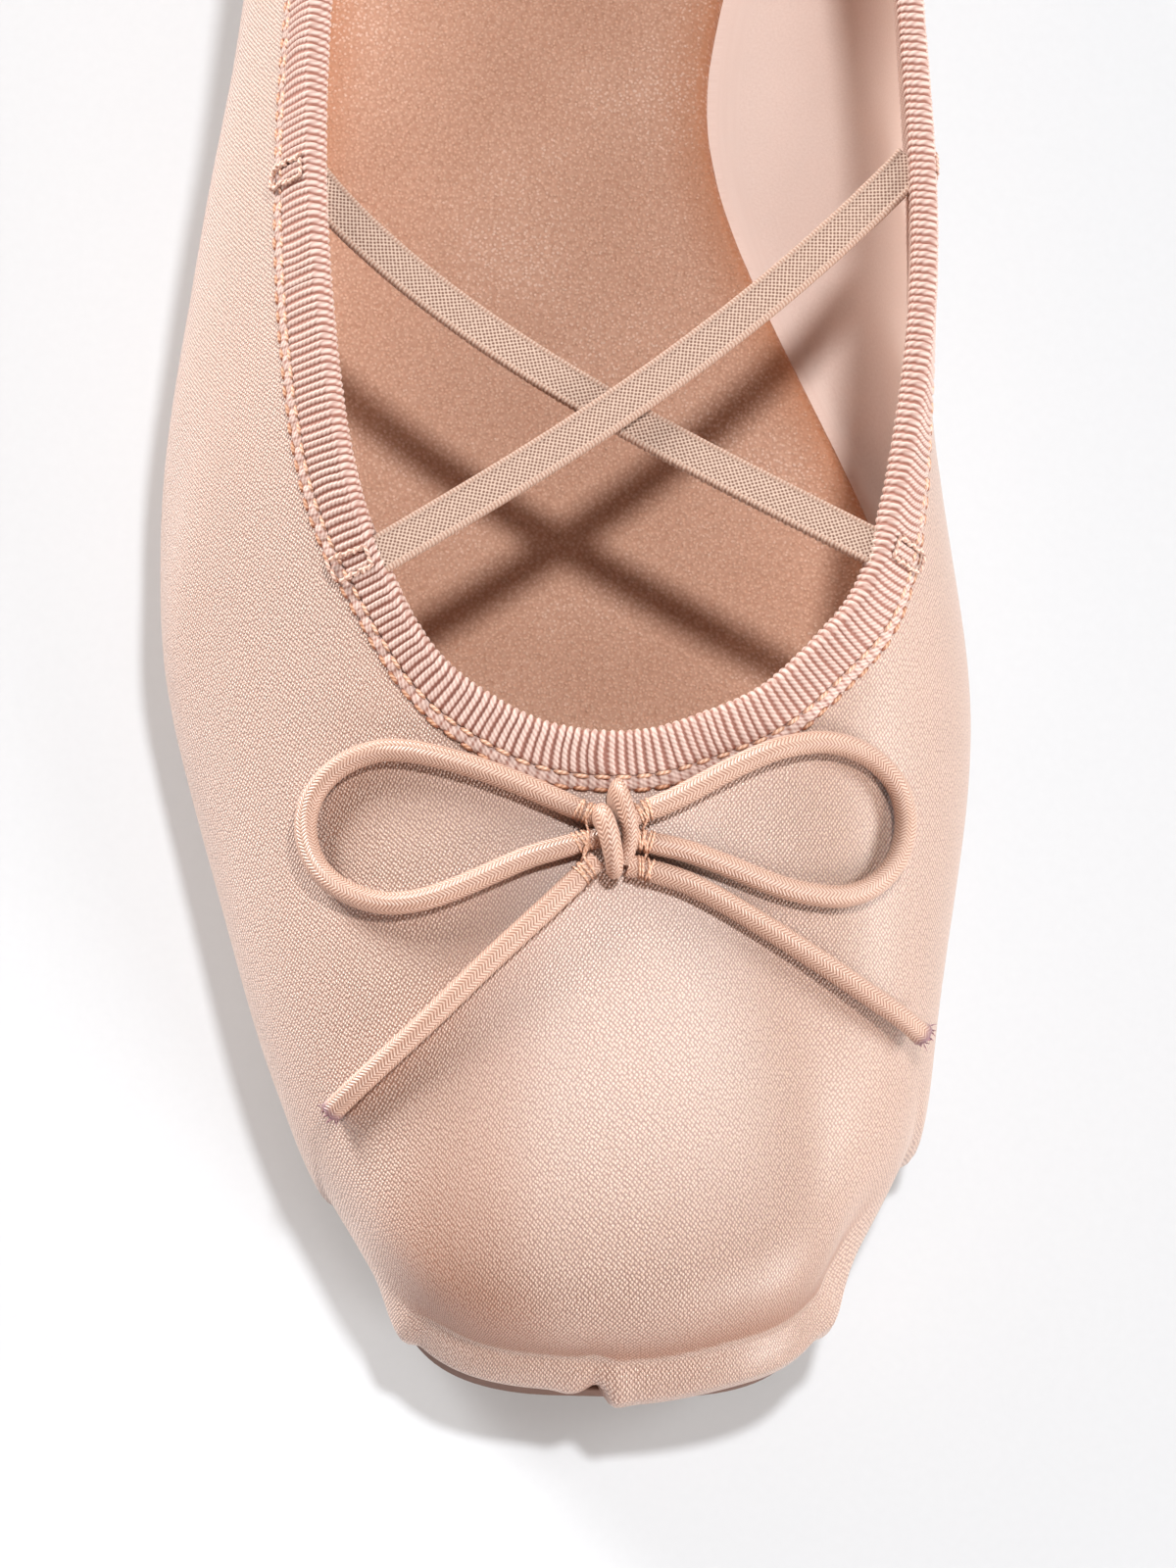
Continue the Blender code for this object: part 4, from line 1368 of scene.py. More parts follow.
@dataclass
class Binding:
    """Ribbed ribbon folded over the topline, with a plain woven edge outside.

    Its section is drawn twice, in a groove and on a rib, and each station round the
    topline lies between the two.
    """

    last: Last
    rib_pitch: float = 0.92
    rib_height: float = 0.26
    outside: float = 5.75       # how far it reaches below the topline
    selvedge: float = 1.55      # the plain edge's width
    inside: float = 5.0
    body: float = 0.72          # how high its grooves stand off the satin
    bow: float = 0.31           # how far a rib's middle is drawn along
    pucker: float = 0.26        # how far the plain edge swells between two stitches
    stitch_pitch: float = 2.25
    steps: tuple[float, ...] = (0.0, 0.2, 0.4, 0.6, 0.8)    # a rib's five stations
    rises: tuple[float, ...] = (0.0, 0.3, 1.0, 1.0, 0.3)    # and how high each is
    plain_tone: float = 0.55    # how far the plain edge is from a groove to a rib
    uneven: float = 0.05        # how far a rib strays from its place, in pitches
    seed: int = 11

    def stations(self) -> tuple[Array, Array, Array, Array]:
        """Where the ribs lie round the topline, five stations to each.

        Returns:
            Each station's distance round the outline, its share of a rib's height, its
            rib's bow, and its distance round the topline.
        """
        u = self.last.once_round(3001)
        run = run_length(self.last.over_edge(u, 0.6, 0.0))
        count = round(run[-1] / self.rib_pitch)
        chance = np.random.default_rng(self.seed)
        strayed = np.arange(count) + self.uneven * chance.normal(0, 1, count).clip(-1.5, 1.5)
        at = (strayed[:, None] + np.array(self.steps)).ravel() / count * run[-1]
        high = np.array(self.rises) * chance.uniform(0.88, 1.08, (count, 1))
        wander = chance.normal(0, 1, count + 6)
        slow = np.convolve(wander, np.ones(7) / 7, mode="valid")
        bows = self.bow * (0.7 + 1.6 * slow)
        return (np.interp(at % run[-1], run, u), high.ravel(),
                np.repeat(bows, len(self.steps)), at)

    def section(self, u: Array, bow: Array, rib: float) -> Array:
        """The ribbon's section at each u.

        Args:
            u: Distances round the outline.
            bow: How far each station's rib is drawn along in its middle.
            rib: How far the ribs stand up.

        Returns:
            Stations by points by 3.
        """
        last, wall = self.last, self.last.wall_thickness
        turn = last.squared(u)
        full, plain = self.body + rib, self.body - 0.28 + rib * 0.12
        edge = self.outside - self.selvedge
        # Outside: below the topline, height off the wall, share of the rib's bow
        legs = [(self.outside, 0.04, 0.0), (self.outside, plain - 0.2, 0.0),
                (self.outside - 0.25, plain, 0.0), (edge + 0.6, plain + 0.05, 0.0),
                (edge + 0.12, plain, 0.1), (edge, plain - 0.16, 0.1),
                (edge - 0.15, full - 0.08, 0.14), (3.7, full, 0.36), (3.2, full, 0.62),
                (2.7, full + 0.02, 0.84), (2.2, full + 0.03, 0.97), (1.7, full + 0.04, 1.0),
                (1.2, full + 0.04, 0.93), (0.8, full + 0.03, 0.8), (0.4, full + 0.02, 0.62)]
        # Over the edge: height off the wall, rise, share of the bow
        caps = [(full * 0.86, 0.35, 0.42), (full * 0.5, full * 0.78, 0.26),
                (-0.1, full, 0.12), (-wall * 0.6, full + 0.04, 0.04),
                (-wall - 0.1, full, 0.0), (-wall - full * 0.62, full * 0.78, -0.2),
                (-wall - full * 0.95, 0.3, -0.3)]
        # Inside: as outside
        lining = [(0.4, -wall - full, -0.3), (1.6, -wall - full, -0.2),
                  (3.2, -wall - full, 0.0), (self.inside - 0.3, -wall - full + 0.06, 0.0),
                  (self.inside, -wall - 0.35, 0.0), (self.inside, -wall - 0.04, 0.0),
                  (2.0, -wall - 0.04, 0.0)]
        points = [last.under_edge(u + bow * b + turn * d, d, o) for d, o, b in legs]
        points += [last.over_edge(u + bow * b, o, r) for o, r, b in caps]
        points += [last.under_edge(u + bow * b + turn * d, d, o) for d, o, b in lining]
        points += [last.over_edge(u, -wall - 0.04, 0.05), last.over_edge(u, 0.05, 0.05),
                   last.under_edge(u, 2.0, 0.04)]
        return np.stack(points, axis=1)

    def build(self) -> Object:
        """The ribbon."""
        u, rise, bow, at = self.stations()
        groove, rib = self.section(u, bow, 0.0), self.section(u, bow, self.rib_height)
        points = groove + (rib - groove) * rise[:, None, None]
        swell = self.pucker * (np.abs(np.sin(math.pi * at / self.stitch_pitch)) - 0.5)
        off_cloth = unit(points[:, 2] - points[:, 0])
        outwards = unit(points[:, 2] - points[:, 4])
        points[:, 2:5] += (swell[:, None] * off_cloth)[:, None]
        points[:, :3] += (0.8 * swell[:, None] * outwards)[:, None]
        count, width = points.shape[:2]
        across = run_length(points.mean(axis=0))
        run = np.arange(count + 1) / len(self.steps) * self.rib_pitch
        mapped = cloth_grid(run, np.append(across, across[-1] + 2))
        piece = lofted("ribbon_binding", points, mapped, RIBBON, close_rows=True,
                       close_cols=True, sharp=75)
        # Painted shade: each station's rib height sets its colour, darker in the grooves
        plain = np.zeros(width)
        plain[2:6] = self.plain_tone
        paint(piece, "rib", np.maximum(rise.clip(0, 1)[:, None], plain[None, :]))
        return place(piece, Slot.GROSGRAIN, "binding")


def strands(name: str, lines: Array, radius: float, up: Array, finish: Finish,
            sides: int = 6, end_shade: float = 0.0) -> Object:
    """Makes one mesh of many short threads with rounded ends.

    Args:
        name: The piece's name.
        lines: Threads by points by 3.
        radius: Half a thread's thickness.
        up: The way that each thread stands off its cloth.
        finish: What the thread is made of.
        sides: How many sides a thread has.
        end_shade: How much painted shade darkens its ends, where they go down into their
            needle holes.

    Returns:
        The linked object.
    """
    count, long = lines.shape[:2]
    share = np.linspace(-1, 1, long)
    thick = radius * np.sqrt(np.clip(1 - np.abs(share) ** 6, 0.12, 1))
    rings = tube_rings(lines, thick, thick, up, sides)
    index = np.arange(count * long * sides).reshape(count, long, sides)
    after = np.roll(index, -1, axis=2)
    quads = np.stack([index[:, :-1], index[:, 1:], after[:, 1:], after[:, :-1]], axis=-1)
    ends = index[:, 0, ::-1].tolist() + index[:, -1].tolist()
    mesh = bpy.data.meshes.new(name)
    mesh.from_pydata((rings.reshape(-1, 3) * MM).tolist(), [],
                     quads.reshape(-1, 4).tolist() + ends)
    along = np.broadcast_to(run_length(lines)[..., None], (count, long, sides)).ravel()
    round_it = np.broadcast_to(np.arange(sides) * 2 * math.pi * radius / sides,
                               (count, long, sides)).ravel()
    corner = np.zeros(len(mesh.loops), np.int32)
    mesh.loops.foreach_get("vertex_index", corner)
    piece = finished(mesh, np.stack([along[corner], round_it[corner]], axis=-1), finish)
    paint(piece, "end", np.broadcast_to(
        end_shade * smooth((np.abs(share) - 0.35) / 0.45)[:, None], (count, long, sides)))
    return piece


class StitchRow(NamedTuple):
    """A row of stitches: how far it runs below the topline, how high its cloth stands off
    the wall, its thread, and how much painted shade darkens its ends at the needle holes."""

    name: str
    distance: float
    offset: float
    thread: Finish
    end_shade: float


STITCH_ROWS = (
    StitchRow("stitches_outer", 5.8, 0.34, EDGE_THREAD, 1.0),
    StitchRow("stitches_inner", 4.35, 0.66, THREAD, 0.6),
)


@dataclass
class Stitching:
    """Lock stitches along the ribbon's outer edge, and the tacks that hold the straps."""

    last: Last
    pitch: float = 2.25
    stitch: float = 1.7
    thread: float = 0.24        # half its thickness
    points: int = 9
    stray: Pair = (0.06, 0.07)  # along, in pitches, and across
    tack_half: float = 1.2      # half the width of the box over a strap's end
    tack_from: float = 0.4      # where the box begins below the topline
    tack_to: float = 5.7
    tack_step: float = 0.95
    tack_rise: float = 0.9      # how high its thread lies over the wall, on the ribs
    tack_front: float = 1.6     # how far it lies to the heel from a strap's front end
    tack_rear: float = -1.5     # and from its rear end
    # painted shade at the ends of the tack stitches
    tack_end_shade: float = 0.6
    seed: int = 4

    def row(self, distance: float, offset: float) -> tuple[Array, Array]:
        """One row of stitches.

        Args:
            distance: How far it runs below the topline.
            offset: How high the cloth under it stands off the wall.

        Returns:
            Stitches by points by 3, and the way that each stands off.
        """
        u = self.last.once_round(2401)
        t = self.last.below_topline(u, distance)
        normal = self.last.wall_normal(u, t)
        line = self.last.wall(u, t) + normal * offset
        run = run_length(line)
        count = round(run[-1] / self.pitch)
        chance = np.random.default_rng(self.seed)
        along, off = self.stray
        start = (np.arange(count) + chance.uniform(-along, along, count)) / count * run[-1]
        share = np.linspace(0, 1, self.points)
        at = start[:, None] + share * self.stitch * chance.uniform(0.9, 1.08, (count, 1))
        path, up = (np.stack([np.interp(at % run[-1], run, values[:, k]) for k in range(3)],
                             axis=-1) for values in (line, normal))
        up = unit(up)
        arch = 0.5 * self.thread * (np.sin(math.pi * share) ** 0.6 - 0.9)
        side = unit(np.cross(np.gradient(path, axis=1), up))
        wander = chance.uniform(-off, off, (count, 1, 1))
        return path + up * arch[:, None] + side * wander, up

    def tack(self, side: float) -> tuple[Array, Array]:
        """The stitched box over a strap's end.

        Args:
            side: Where it is round the outline, to the medial side.

        Returns:
            Stitches by points by 3, and the way that each stands off.
        """
        chance = np.random.default_rng(self.seed + int(abs(side)))
        lines, ways = [], []
        share = np.linspace(0, 1, self.points)
        near = self.last.over_edge(np.array([-side - 0.5, 0.5 - side]), 0.6, 0.0)
        speed = np.linalg.norm(near[1] - near[0])

        def lay(begin: Pair, end: Pair) -> None:
            """Adds one stitch between two places: along the topline, and below it."""
            shift = chance.uniform(-0.2, 0.2, (2, 2))
            a, b = np.array(begin) + shift[0], np.array(end) + shift[1]
            along = (a[0] + (b[0] - a[0]) * share) / speed
            down = a[1] + (b[1] - a[1]) * share
            u = -(side + along)
            u = u + self.last.squared(u) * down
            t = np.array([self.last.below_topline(u[k:k + 1], down[k])[0]
                          for k in range(self.points)])
            normal = self.last.wall_normal(u, t)
            rise = self.tack_rise + 0.14 * np.sin(math.pi * share) + chance.uniform(0, 0.1)
            lines.append(self.last.wall(u, t) + normal * rise[:, None])
            ways.append(normal)

        half = self.tack_half
        # Down each bar a zigzag of crossed stitches, and two stitches over each end
        for bar in (-half, half):
            for below in np.arange(self.tack_from, self.tack_to - 0.8, self.tack_step):
                lay((bar - 0.16, below), (bar + 0.16, below + 1.05))
                lay((bar + 0.2, below + 0.45), (bar - 0.2, below + 1.3))
        for below in (self.tack_from, self.tack_to):
            lay((-half, below), (0.1, below + 0.1))
            lay((-0.1, below - 0.05), (half, below))
        return np.array(lines), np.array(ways)

    def build(self) -> None:
        """Both rows of stitches and the tacks."""
        for row in STITCH_ROWS:
            lines, up = self.row(row.distance, row.offset)
            place(strands(row.name, lines, self.thread, up, row.thread, end_shade=row.end_shade),
                  Slot.GROSGRAIN)
        for strap in STRAPS:
            for end, at, back in (("front", strap.front, self.tack_front),
                                  ("rear", strap.rear, self.tack_rear)):
                side = self.nearest(at)
                lines, up = self.tack(side + back * np.sign(side))
                place(strands(f"tack_{strap.name}_{end}", lines, self.thread, up,
                              TACK_THREAD, end_shade=self.tack_end_shade), Slot.GROSGRAIN)

    def nearest(self, at: Triple) -> float:
        """Where round the outline the topline passes a place, to the medial side."""
        u = self.last.once_round(2401)
        apart = np.linalg.norm(self.last.ring(u)[:, 4:] - at[:2], axis=1)
        return float(-u[apart.argmin()])


# Straps ---------------------------------------------------------------------------

class Strap(NamedTuple):
    """An elastic strap: its ends across, along and in height, and how its middle hangs."""

    name: str
    rear: Triple
    front: Triple
    middle_height: float
    draw: float                 # how far its middle lies towards the toe
    skew: float                 # below 1, its lowest place is nearer its rear end


STRAPS = (
    Strap("strap_under", (-36.5, 133.5, 39.6), (28.9, 88.6, 39.4), 37.2, 4.6, 0.65),
    Strap("strap_over", (32.6, 137.0, 40.0), (-30.0, 85.2, 39.6), 39.3, 3.9, 0.8),
)


def inside(points: Array, ring: Array) -> Array:
    """Which plan points lie inside a closed plan line."""
    a, b = ring, np.roll(ring, -1, axis=0)
    x, y = points[:, None, 0], points[:, None, 1]
    spans = (a[:, 1] > y) != (b[:, 1] > y)
    rise = np.where(b[:, 1] == a[:, 1], 1e-9, b[:, 1] - a[:, 1])
    crossed = x < (b[:, 0] - a[:, 0]) * (y - a[:, 1]) / rise + a[:, 0]
    return (spans & crossed).sum(axis=1) % 2 == 1


@dataclass
class ElasticStraps:
    """Two flat knitted bands that cross in the opening, one over the other."""

    last: Last
    half_width: float = 2.2
    roll: float = 0.62          # half the thickness at the rolled edges
    middle: float = 0.47        # half the thickness of the knit between them
    step: float = 0.4
    sewn_in: float = 0.5        # how far an end runs into the ribbon
    scallop: Pair = (0.12, 0.8)  # of its rolled edge: depth, pitch

    def outline(self) -> Array:
        """Half of the band's section, from one edge to the other: across and up."""
        half, roll, mid = self.half_width, self.roll, self.middle
        side = np.array([
            (half - 0.03, roll * 0.55), (half - 0.16, roll * 0.88), (half - 0.34, roll),
            (half - 0.52, roll * 0.92), (half - 0.66, mid * 0.96), (half - 0.9, mid),
            (half * 0.35, mid + 0.03)])
        return np.vstack([(half, 0.0), side, (0.0, mid + 0.04), side[::-1] * (-1, 1)])

    def route(self, strap: Strap) -> Array:
        """The band's middle line, from ribbon to ribbon."""
        share = np.linspace(0, 1, 241)
        ends = np.array([strap.rear, strap.front])
        line = ends[0] + share[:, None] * (ends[1] - ends[0])
        hang = np.sin(math.pi * share ** strap.skew)
        line[:, 1] -= strap.draw * hang
        line[:, 2] += (strap.middle_height - ends[:, 2].mean()) * hang
        points = self.last.lifted(line[:, :2], line[:, 2])
        u = self.last.once_round(601)[:-1]
        reach = -self.last.wall_thickness - 0.75 + self.sewn_in
        free = inside(points[:, :2], self.last.under_edge(u, 2.0, reach)[:, :2])
        return respaced(points[free], self.step)

    def build(self) -> None:
        """Both bands."""
        upper = self.outline()
        section = np.vstack([upper, upper * (-1, -1)])
        for strap in STRAPS:
            line = self.route(strap)
            run = run_length(line)
            ahead = unit(np.gradient(line, axis=0))
            across = unit(np.cross(ahead, (0, 0, 1)))
            if ahead[0, 0] > 0:
                across = -across
            lift = np.cross(ahead, across)
            lift *= np.sign(lift[:, 2:])
            deep, pitch = self.scallop
            wave = 1 + deep * np.sin(2 * math.pi * run / pitch) / self.half_width
            wide = np.where(section[None, :, 0] * across[:1, 1:2] < 0,
                            section[None, :, 0] * wave[:, None], section[None, :, 0])
            points = (line[:, None] + wide[..., None] * across[:, None]
                      + section[None, :, 1:] * lift[:, None])
            mapped = cloth_grid(run, np.append(section[:, 0], section[0, 0]))
            piece = lofted(f"{strap.name}_band", points, mapped, ELASTIC, close_cols=True,
                           caps=True, sharp=80)
            place(piece, Slot.ELASTIC, strap.name)


# Sock and sole --------------------------------------------------------------------

@dataclass
class Sock:
    """The padded leather sock that lies on the turned-in margin."""

    last: Last
    thickness: float = 2.4
    inset: float = 2.4
    under: float = 1.8          # its underside above the feather line
    dish: float = 0.3           # how far its edges stand above its middle
    dish_reach: float = 9.0
    edge_round: float = 1.7
    edge_share: float = 0.35    # of its thickness, at its very edge
    # How far in from its edge the painted warm shade reaches, and how strong it is
    rim: float = 7.5
    edge_shade_tone: float = 0.6
    rows: int = 190
    cols: int = 64
    nick: Pair = (0.1, 0.9)      # of its cut edge: depth, pitch
    fill: float = 0.3

    def build(self) -> Object:
        """The sock."""
        grid = self.last.plate(self.inset, self.rows, self.cols)
        along = grid.y[:, :1]
        off_edge = np.minimum(grid.inside, np.minimum(along - along[0], along[-1] - along))
        deep, pitch = self.nick
        nicks = deep * np.sin(2 * math.pi * grid.y / pitch) * np.sign(grid.share) * (
            np.abs(grid.share) > 0.999)
        plan = np.stack([grid.x + nicks, grid.y], axis=-1)
        round_off = np.clip(1 - off_edge / self.edge_round, 0, 1)
        top = self.thickness * (
            self.edge_share + (1 - self.edge_share) * np.sqrt(1 - round_off ** 2))
        top += self.dish * smooth(1 - off_edge / self.dish_reach) * (1 - round_off)
        floor = self.last.feather_height(grid.y) + self.under
        upper = self.last.lifted(plan, floor + top)
        lower = self.last.lifted(plan, floor)[:, ::-1]
        points = np.concatenate([upper, lower], axis=1)
        mapped = np.concatenate([plan, plan[:, ::-1], plan[:, :1]], axis=1)
        piece = lofted("leather_sock", points, mapped, LEATHER, close_cols=True, caps=True)
        # Painted warm shade towards the sock's edge, for its finish to read
        rim = np.zeros(points.shape[:2])
        rim[:, :self.cols] = self.edge_shade_tone * smooth(1 - off_edge / self.rim)
        paint(piece, "rim", rim)
        place(piece, Slot.SOCK_LEATHER, "insole")
        return piece


@dataclass
class Sole:
    """The thin moulded outsole and the low heel lift under it."""

    last: Last
    spread: float = 0.9         # how far the outsole reaches past the feather line
    heel_spread: float = 0.5
    heel_gap: float = 0.3       # between the heel's top and the outsole
    breast: float = 182.0       # where the heel's front is
    rounding: Pair = (0.7, 0.35)            # radii of the lower and upper edge
    heel_rounding: Pair = (0.5, 0.2)
    rows: int = 170
    cols: int = 44

    def plate(self, name: str, inset: float, start: float | None, thick: float,
              level: Callable, rounding: Pair) -> Object:
        """A plate with rounded edges.

        Args:
            name: The piece's name.
            inset: How far its edge lies inside the feather line.
            start: Where it is cut off square in front, if it is.
            thick: Its thickness.
            level: Its underside's height as a function of the place along.
            rounding: The radii of its lower and its upper edge.

        Returns:
            The linked object.
        """
        grid = self.last.plate(inset, self.rows, self.cols, start)
        low, high = grid.ends
        along = grid.y[:, :1]
        ends = high - along if start else np.minimum(along - low, high - along)
        edge = np.minimum(grid.inside, ends)
        plan = np.stack([grid.x, grid.y], axis=-1)
        faces = []
        for radius, base, way in ((rounding[1], thick, -1), (rounding[0], 0.0, 1)):
            short = np.clip(1 - edge / radius, 0, 1)
            drop = radius * (1 - np.sqrt(1 - short ** 2))
            faces.append(self.last.lifted(plan, level(grid.y) + base + way * drop))
        points = np.concatenate([faces[0], faces[1][:, ::-1]], axis=1)
        mapped = np.concatenate([plan, plan[:, ::-1], plan[:, :1]], axis=1)
        return lofted(name, points, mapped, RUBBER, close_cols=True, caps=True, sharp=40)

    def build(self) -> None:
        """Both plates."""
        last = self.last
        place(self.plate("rubber_outsole", -self.spread, None, last.sole, last.sole_bottom,
                         self.rounding), Slot.SOLE_RUBBER, "outsole")
        place(self.plate("rubber_heel", -self.heel_spread, self.breast,
                         last.heel_lift - self.heel_gap, np.zeros_like,
                         self.heel_rounding), Slot.SOLE_RUBBER, "heel")


# The bow --------------------------------------------------------------------------

class CordKind(Enum):
    """What a cord of the bow is, by what is on its far end."""

    LOOP = "object"             # it goes back into the knot
    TAIL = "bare"               # it is cut, and frays


class BowCord(NamedTuple):
    """One of the bow's cords: places across and along from the knot's middle."""

    name: str
    kind: CordKind
    tip_rise: float             # how far its end stands off the satin
    route: tuple[Pair, ...]


BOW_AT = (-1.7, 55.9)
BOW_CORDS = (
    BowCord("bow_loop_lateral", CordKind.LOOP, 0.0, (
        (-2.9, 2.1), (-7.3, 4.0), (-13.5, 6.5), (-19.9, 8.5), (-25.3, 9.3), (-29.9, 7.9),
        (-32.6, 4.9), (-33.1, 1.1), (-31.6, -2.9), (-28.4, -5.8), (-24.3, -7.3),
        (-19.6, -6.9), (-14.4, -5.0), (-9.1, -2.7), (-3.0, -0.9),
    )),
    BowCord("bow_loop_medial", CordKind.LOOP, 0.0, (
        (2.9, 2.3), (7.0, 4.2), (12.2, 7.2), (17.6, 9.9), (23.1, 11.4), (28.1, 10.8),
        (31.6, 8.2), (32.7, 4.2), (31.5, -0.3), (28.4, -3.8), (24.3, -5.3),
        (18.8, -4.9), (13.4, -3.3), (7.9, -1.6), (3.0, -0.7),
    )),
    BowCord("bow_tail_lateral", CordKind.TAIL, 0.0, (
        (-2.9, -4.0), (-6.9, -8.0), (-13.2, -14.0), (-19.4, -20.0), (-25.0, -24.8),
        (-29.6, -28.3),
    )),
    BowCord("bow_tail_medial", CordKind.TAIL, 2.0, (
        (3.1, -3.7), (8.2, -5.1), (14.5, -8.2), (22.0, -12.2), (28.9, -15.8), (34.9, -18.4),
    )),
)
# Places on the knot: across, along, height over the satin, half width, half height
KNOT_FRONT = (
    (-1.7, 1.6, 2.0, 1.2, 0.8), (-1.5, 1.2, 3.2, 1.6, 1.0), (-1.1, 0.2, 4.0, 1.85, 1.1),
    (-0.7, -1.2, 4.1, 1.9, 1.15), (-0.3, -2.7, 3.5, 1.75, 1.1), (0.0, -3.7, 2.4, 1.5, 1.0),
    (0.1, -4.2, 1.1, 1.1, 0.9),
)
KNOT_BEHIND = (
    (0.1, 4.1, 0.8, 1.9, 0.9), (0.4, 3.8, 2.1, 2.3, 1.0), (0.9, 2.6, 3.0, 2.35, 1.0),
    (1.4, 1.0, 3.3, 2.0, 1.0), (1.7, -0.7, 3.0, 1.5, 0.95), (1.5, -2.2, 2.4, 1.1, 0.85),
    (1.2, -3.2, 1.4, 0.8, 0.8),
)
KNOT_LINKS = {              # sewn from cord to cord beside the knot: across and along
    "bow_ties_lateral": (((-2.6, 3.2), (-3.1, 1.4), (-2.7, -0.4)),
                         ((-3.3, 0.2), (-2.9, -1.8), (-3.6, -3.4)),
                         ((-2.5, -1.0), (-3.3, -2.4), (-2.7, -4.2))),
    "bow_ties_medial": (((3.1, 3.6), (3.6, 1.8), (3.0, 0.2)),
                        ((3.8, 0.9), (3.2, -0.9), (3.9, -2.6)),
                        ((2.9, -0.4), (3.6, -1.8), (3.1, -3.6))),
}


class CordStart(NamedTuple):
    """Where a cord comes out of the knot, its way there, and level across it."""

    place: Array
    way: Array
    across: Array


@dataclass
class CordBow:
    """Round elastic cord: two loops and two tails sewn down under a wrapped knot."""

    satin: Object
    ribbon: Object
    last: Last
    diameter: float = 2.5
    step: float = 0.4
    sides: int = 28
    tuck: float = 1.5           # how far the cords run in under the knot
    tie: float = 0.15           # half the tie thread's thickness
    ties: tuple[float, ...] = (1.2, 1.6, 2.1, 2.5)          # along a cord from its start
    pinch: float = 0.14         # how much the ties draw a cord in
    pinch_at: float = 1.9
    pinch_reach: float = 0.8
    flare: tuple[float, ...] = (1.02, 1.06, 1.03)           # of a tail's cut end
    cut_tone: tuple[float, ...] = (0.3, 0.75, 1.0)
    frays: int = 46
    fray: float = 0.09          # half a loose thread's thickness
    knot_step: float = 0.25
    knot_sides: int = 24
    knot_girth: float = 2 * math.pi * 1.2
    seed: int = 6
    starts: list[CordStart] = field(init=False, default_factory=list)
    chance: np.random.Generator = field(init=False)

    def __post_init__(self) -> None:
        """Starts the ties' random draws."""
        self.chance = np.random.default_rng(self.seed)

    def cord_line(self, cord: BowCord, rest: Rest) -> Array:
        """Lays a cord on the satin.

        Args:
            cord: Its route.
            rest: What it lies on.

        Returns:
            Its centre line.
        """
        plan = self.last.lifted(through(cord.route, 1) + BOW_AT, 0.0)[:, :2]
        line = rest.lay(plan, self.diameter / 2 + 0.1)
        line[:, 2] += cord.tip_rise * np.linspace(0, 1, len(line)) ** 4
        places = [line[0] + unit(line[0] - line[1]) * self.tuck, *line]
        if cord.kind is CordKind.LOOP:
            places.append(line[-1] + unit(line[-1] - line[-2]) * self.tuck)
        return respaced(through(places, 7), self.step)

    def build_cords(self) -> list[Object]:
        """The loops and tails."""
        rest = Rest([self.satin, self.ribbon])
        made = []
        for cord in BOW_CORDS:
            line = self.cord_line(cord, rest)
            tail = cord.kind is CordKind.TAIL
            run = run_length(line)
            radius = np.full(len(line), self.diameter / 2)
            for from_knot in ([run] if tail else [run, run[-1] - run]):
                off = (from_knot - self.pinch_at) / self.pinch_reach
                radius *= 1 - self.pinch * np.exp(-off ** 2)
            if tail:
                radius[-len(self.flare):] *= self.flare
            ends = [line] if tail else [line, line[::-1]]
            self.starts += [self.start(end) for end in ends]
            rings = tube_rings(line[None], radius[None], radius[None],
                               np.array([0.0, 0.0, 1.0]), self.sides)[0]
            girth = np.linspace(0, math.pi * self.diameter, self.sides + 1)
            piece = lofted(f"{cord.name}_cord", rings, cloth_grid(run, girth), BRAID,
                           close_cols=True, caps=True)
            cut = np.zeros((len(line), self.sides))
            if tail:
                cut[-len(self.cut_tone):] = np.array(self.cut_tone)[:, None]
            paint(piece, "cut", np.append(cut.ravel(), [0.0, float(tail)]))
            place(piece, Slot.CORD, cord.name)
            [self.frayed(cord.name, line)] if tail else []
            made.append(piece)
        return made

    @staticmethod
    def start(line: Array) -> CordStart:
        """A line's first point, and its way past the bend beside the knot."""
        way = unit(line[12] - line[2])
        return CordStart(line[0], way, unit(np.cross(way, (0, 0, 1))))

    def frayed(self, name: str, line: Array) -> Object:
        """The loose threads at a tail's cut end.

        Args:
            name: The tail's name.
            line: The tail's centre line.

        Returns:
            The threads.
        """
        chance = np.random.default_rng(len(name))
        ahead = unit(line[-1] - line[-3])
        across = unit(np.cross(ahead, (0, 0, 1)))
        lift = np.cross(across, ahead)
        turn = chance.uniform(0, 2 * math.pi, self.frays)
        out = self.diameter / 2 * np.sqrt(chance.uniform(0.3, 1.0, self.frays))
        root = (line[-1] + out[:, None] * (np.cos(turn)[:, None] * across
                                           + np.sin(turn)[:, None] * lift))
        way = unit(ahead * 1.2 + chance.normal(0, 0.6, (self.frays, 3)))
        long = chance.uniform(0.35, 0.95, (self.frays, 1, 1))
        share = np.linspace(-0.25, 1, 4)
        lines = root[:, None] + way[:, None] * share[:, None] * long
        piece = strands(f"{name}_frayed", lines, self.fray, np.array([0.0, 0.6, 0.8]), FRAYED,
                        sides=4)
        return place(piece, Slot.CORD)

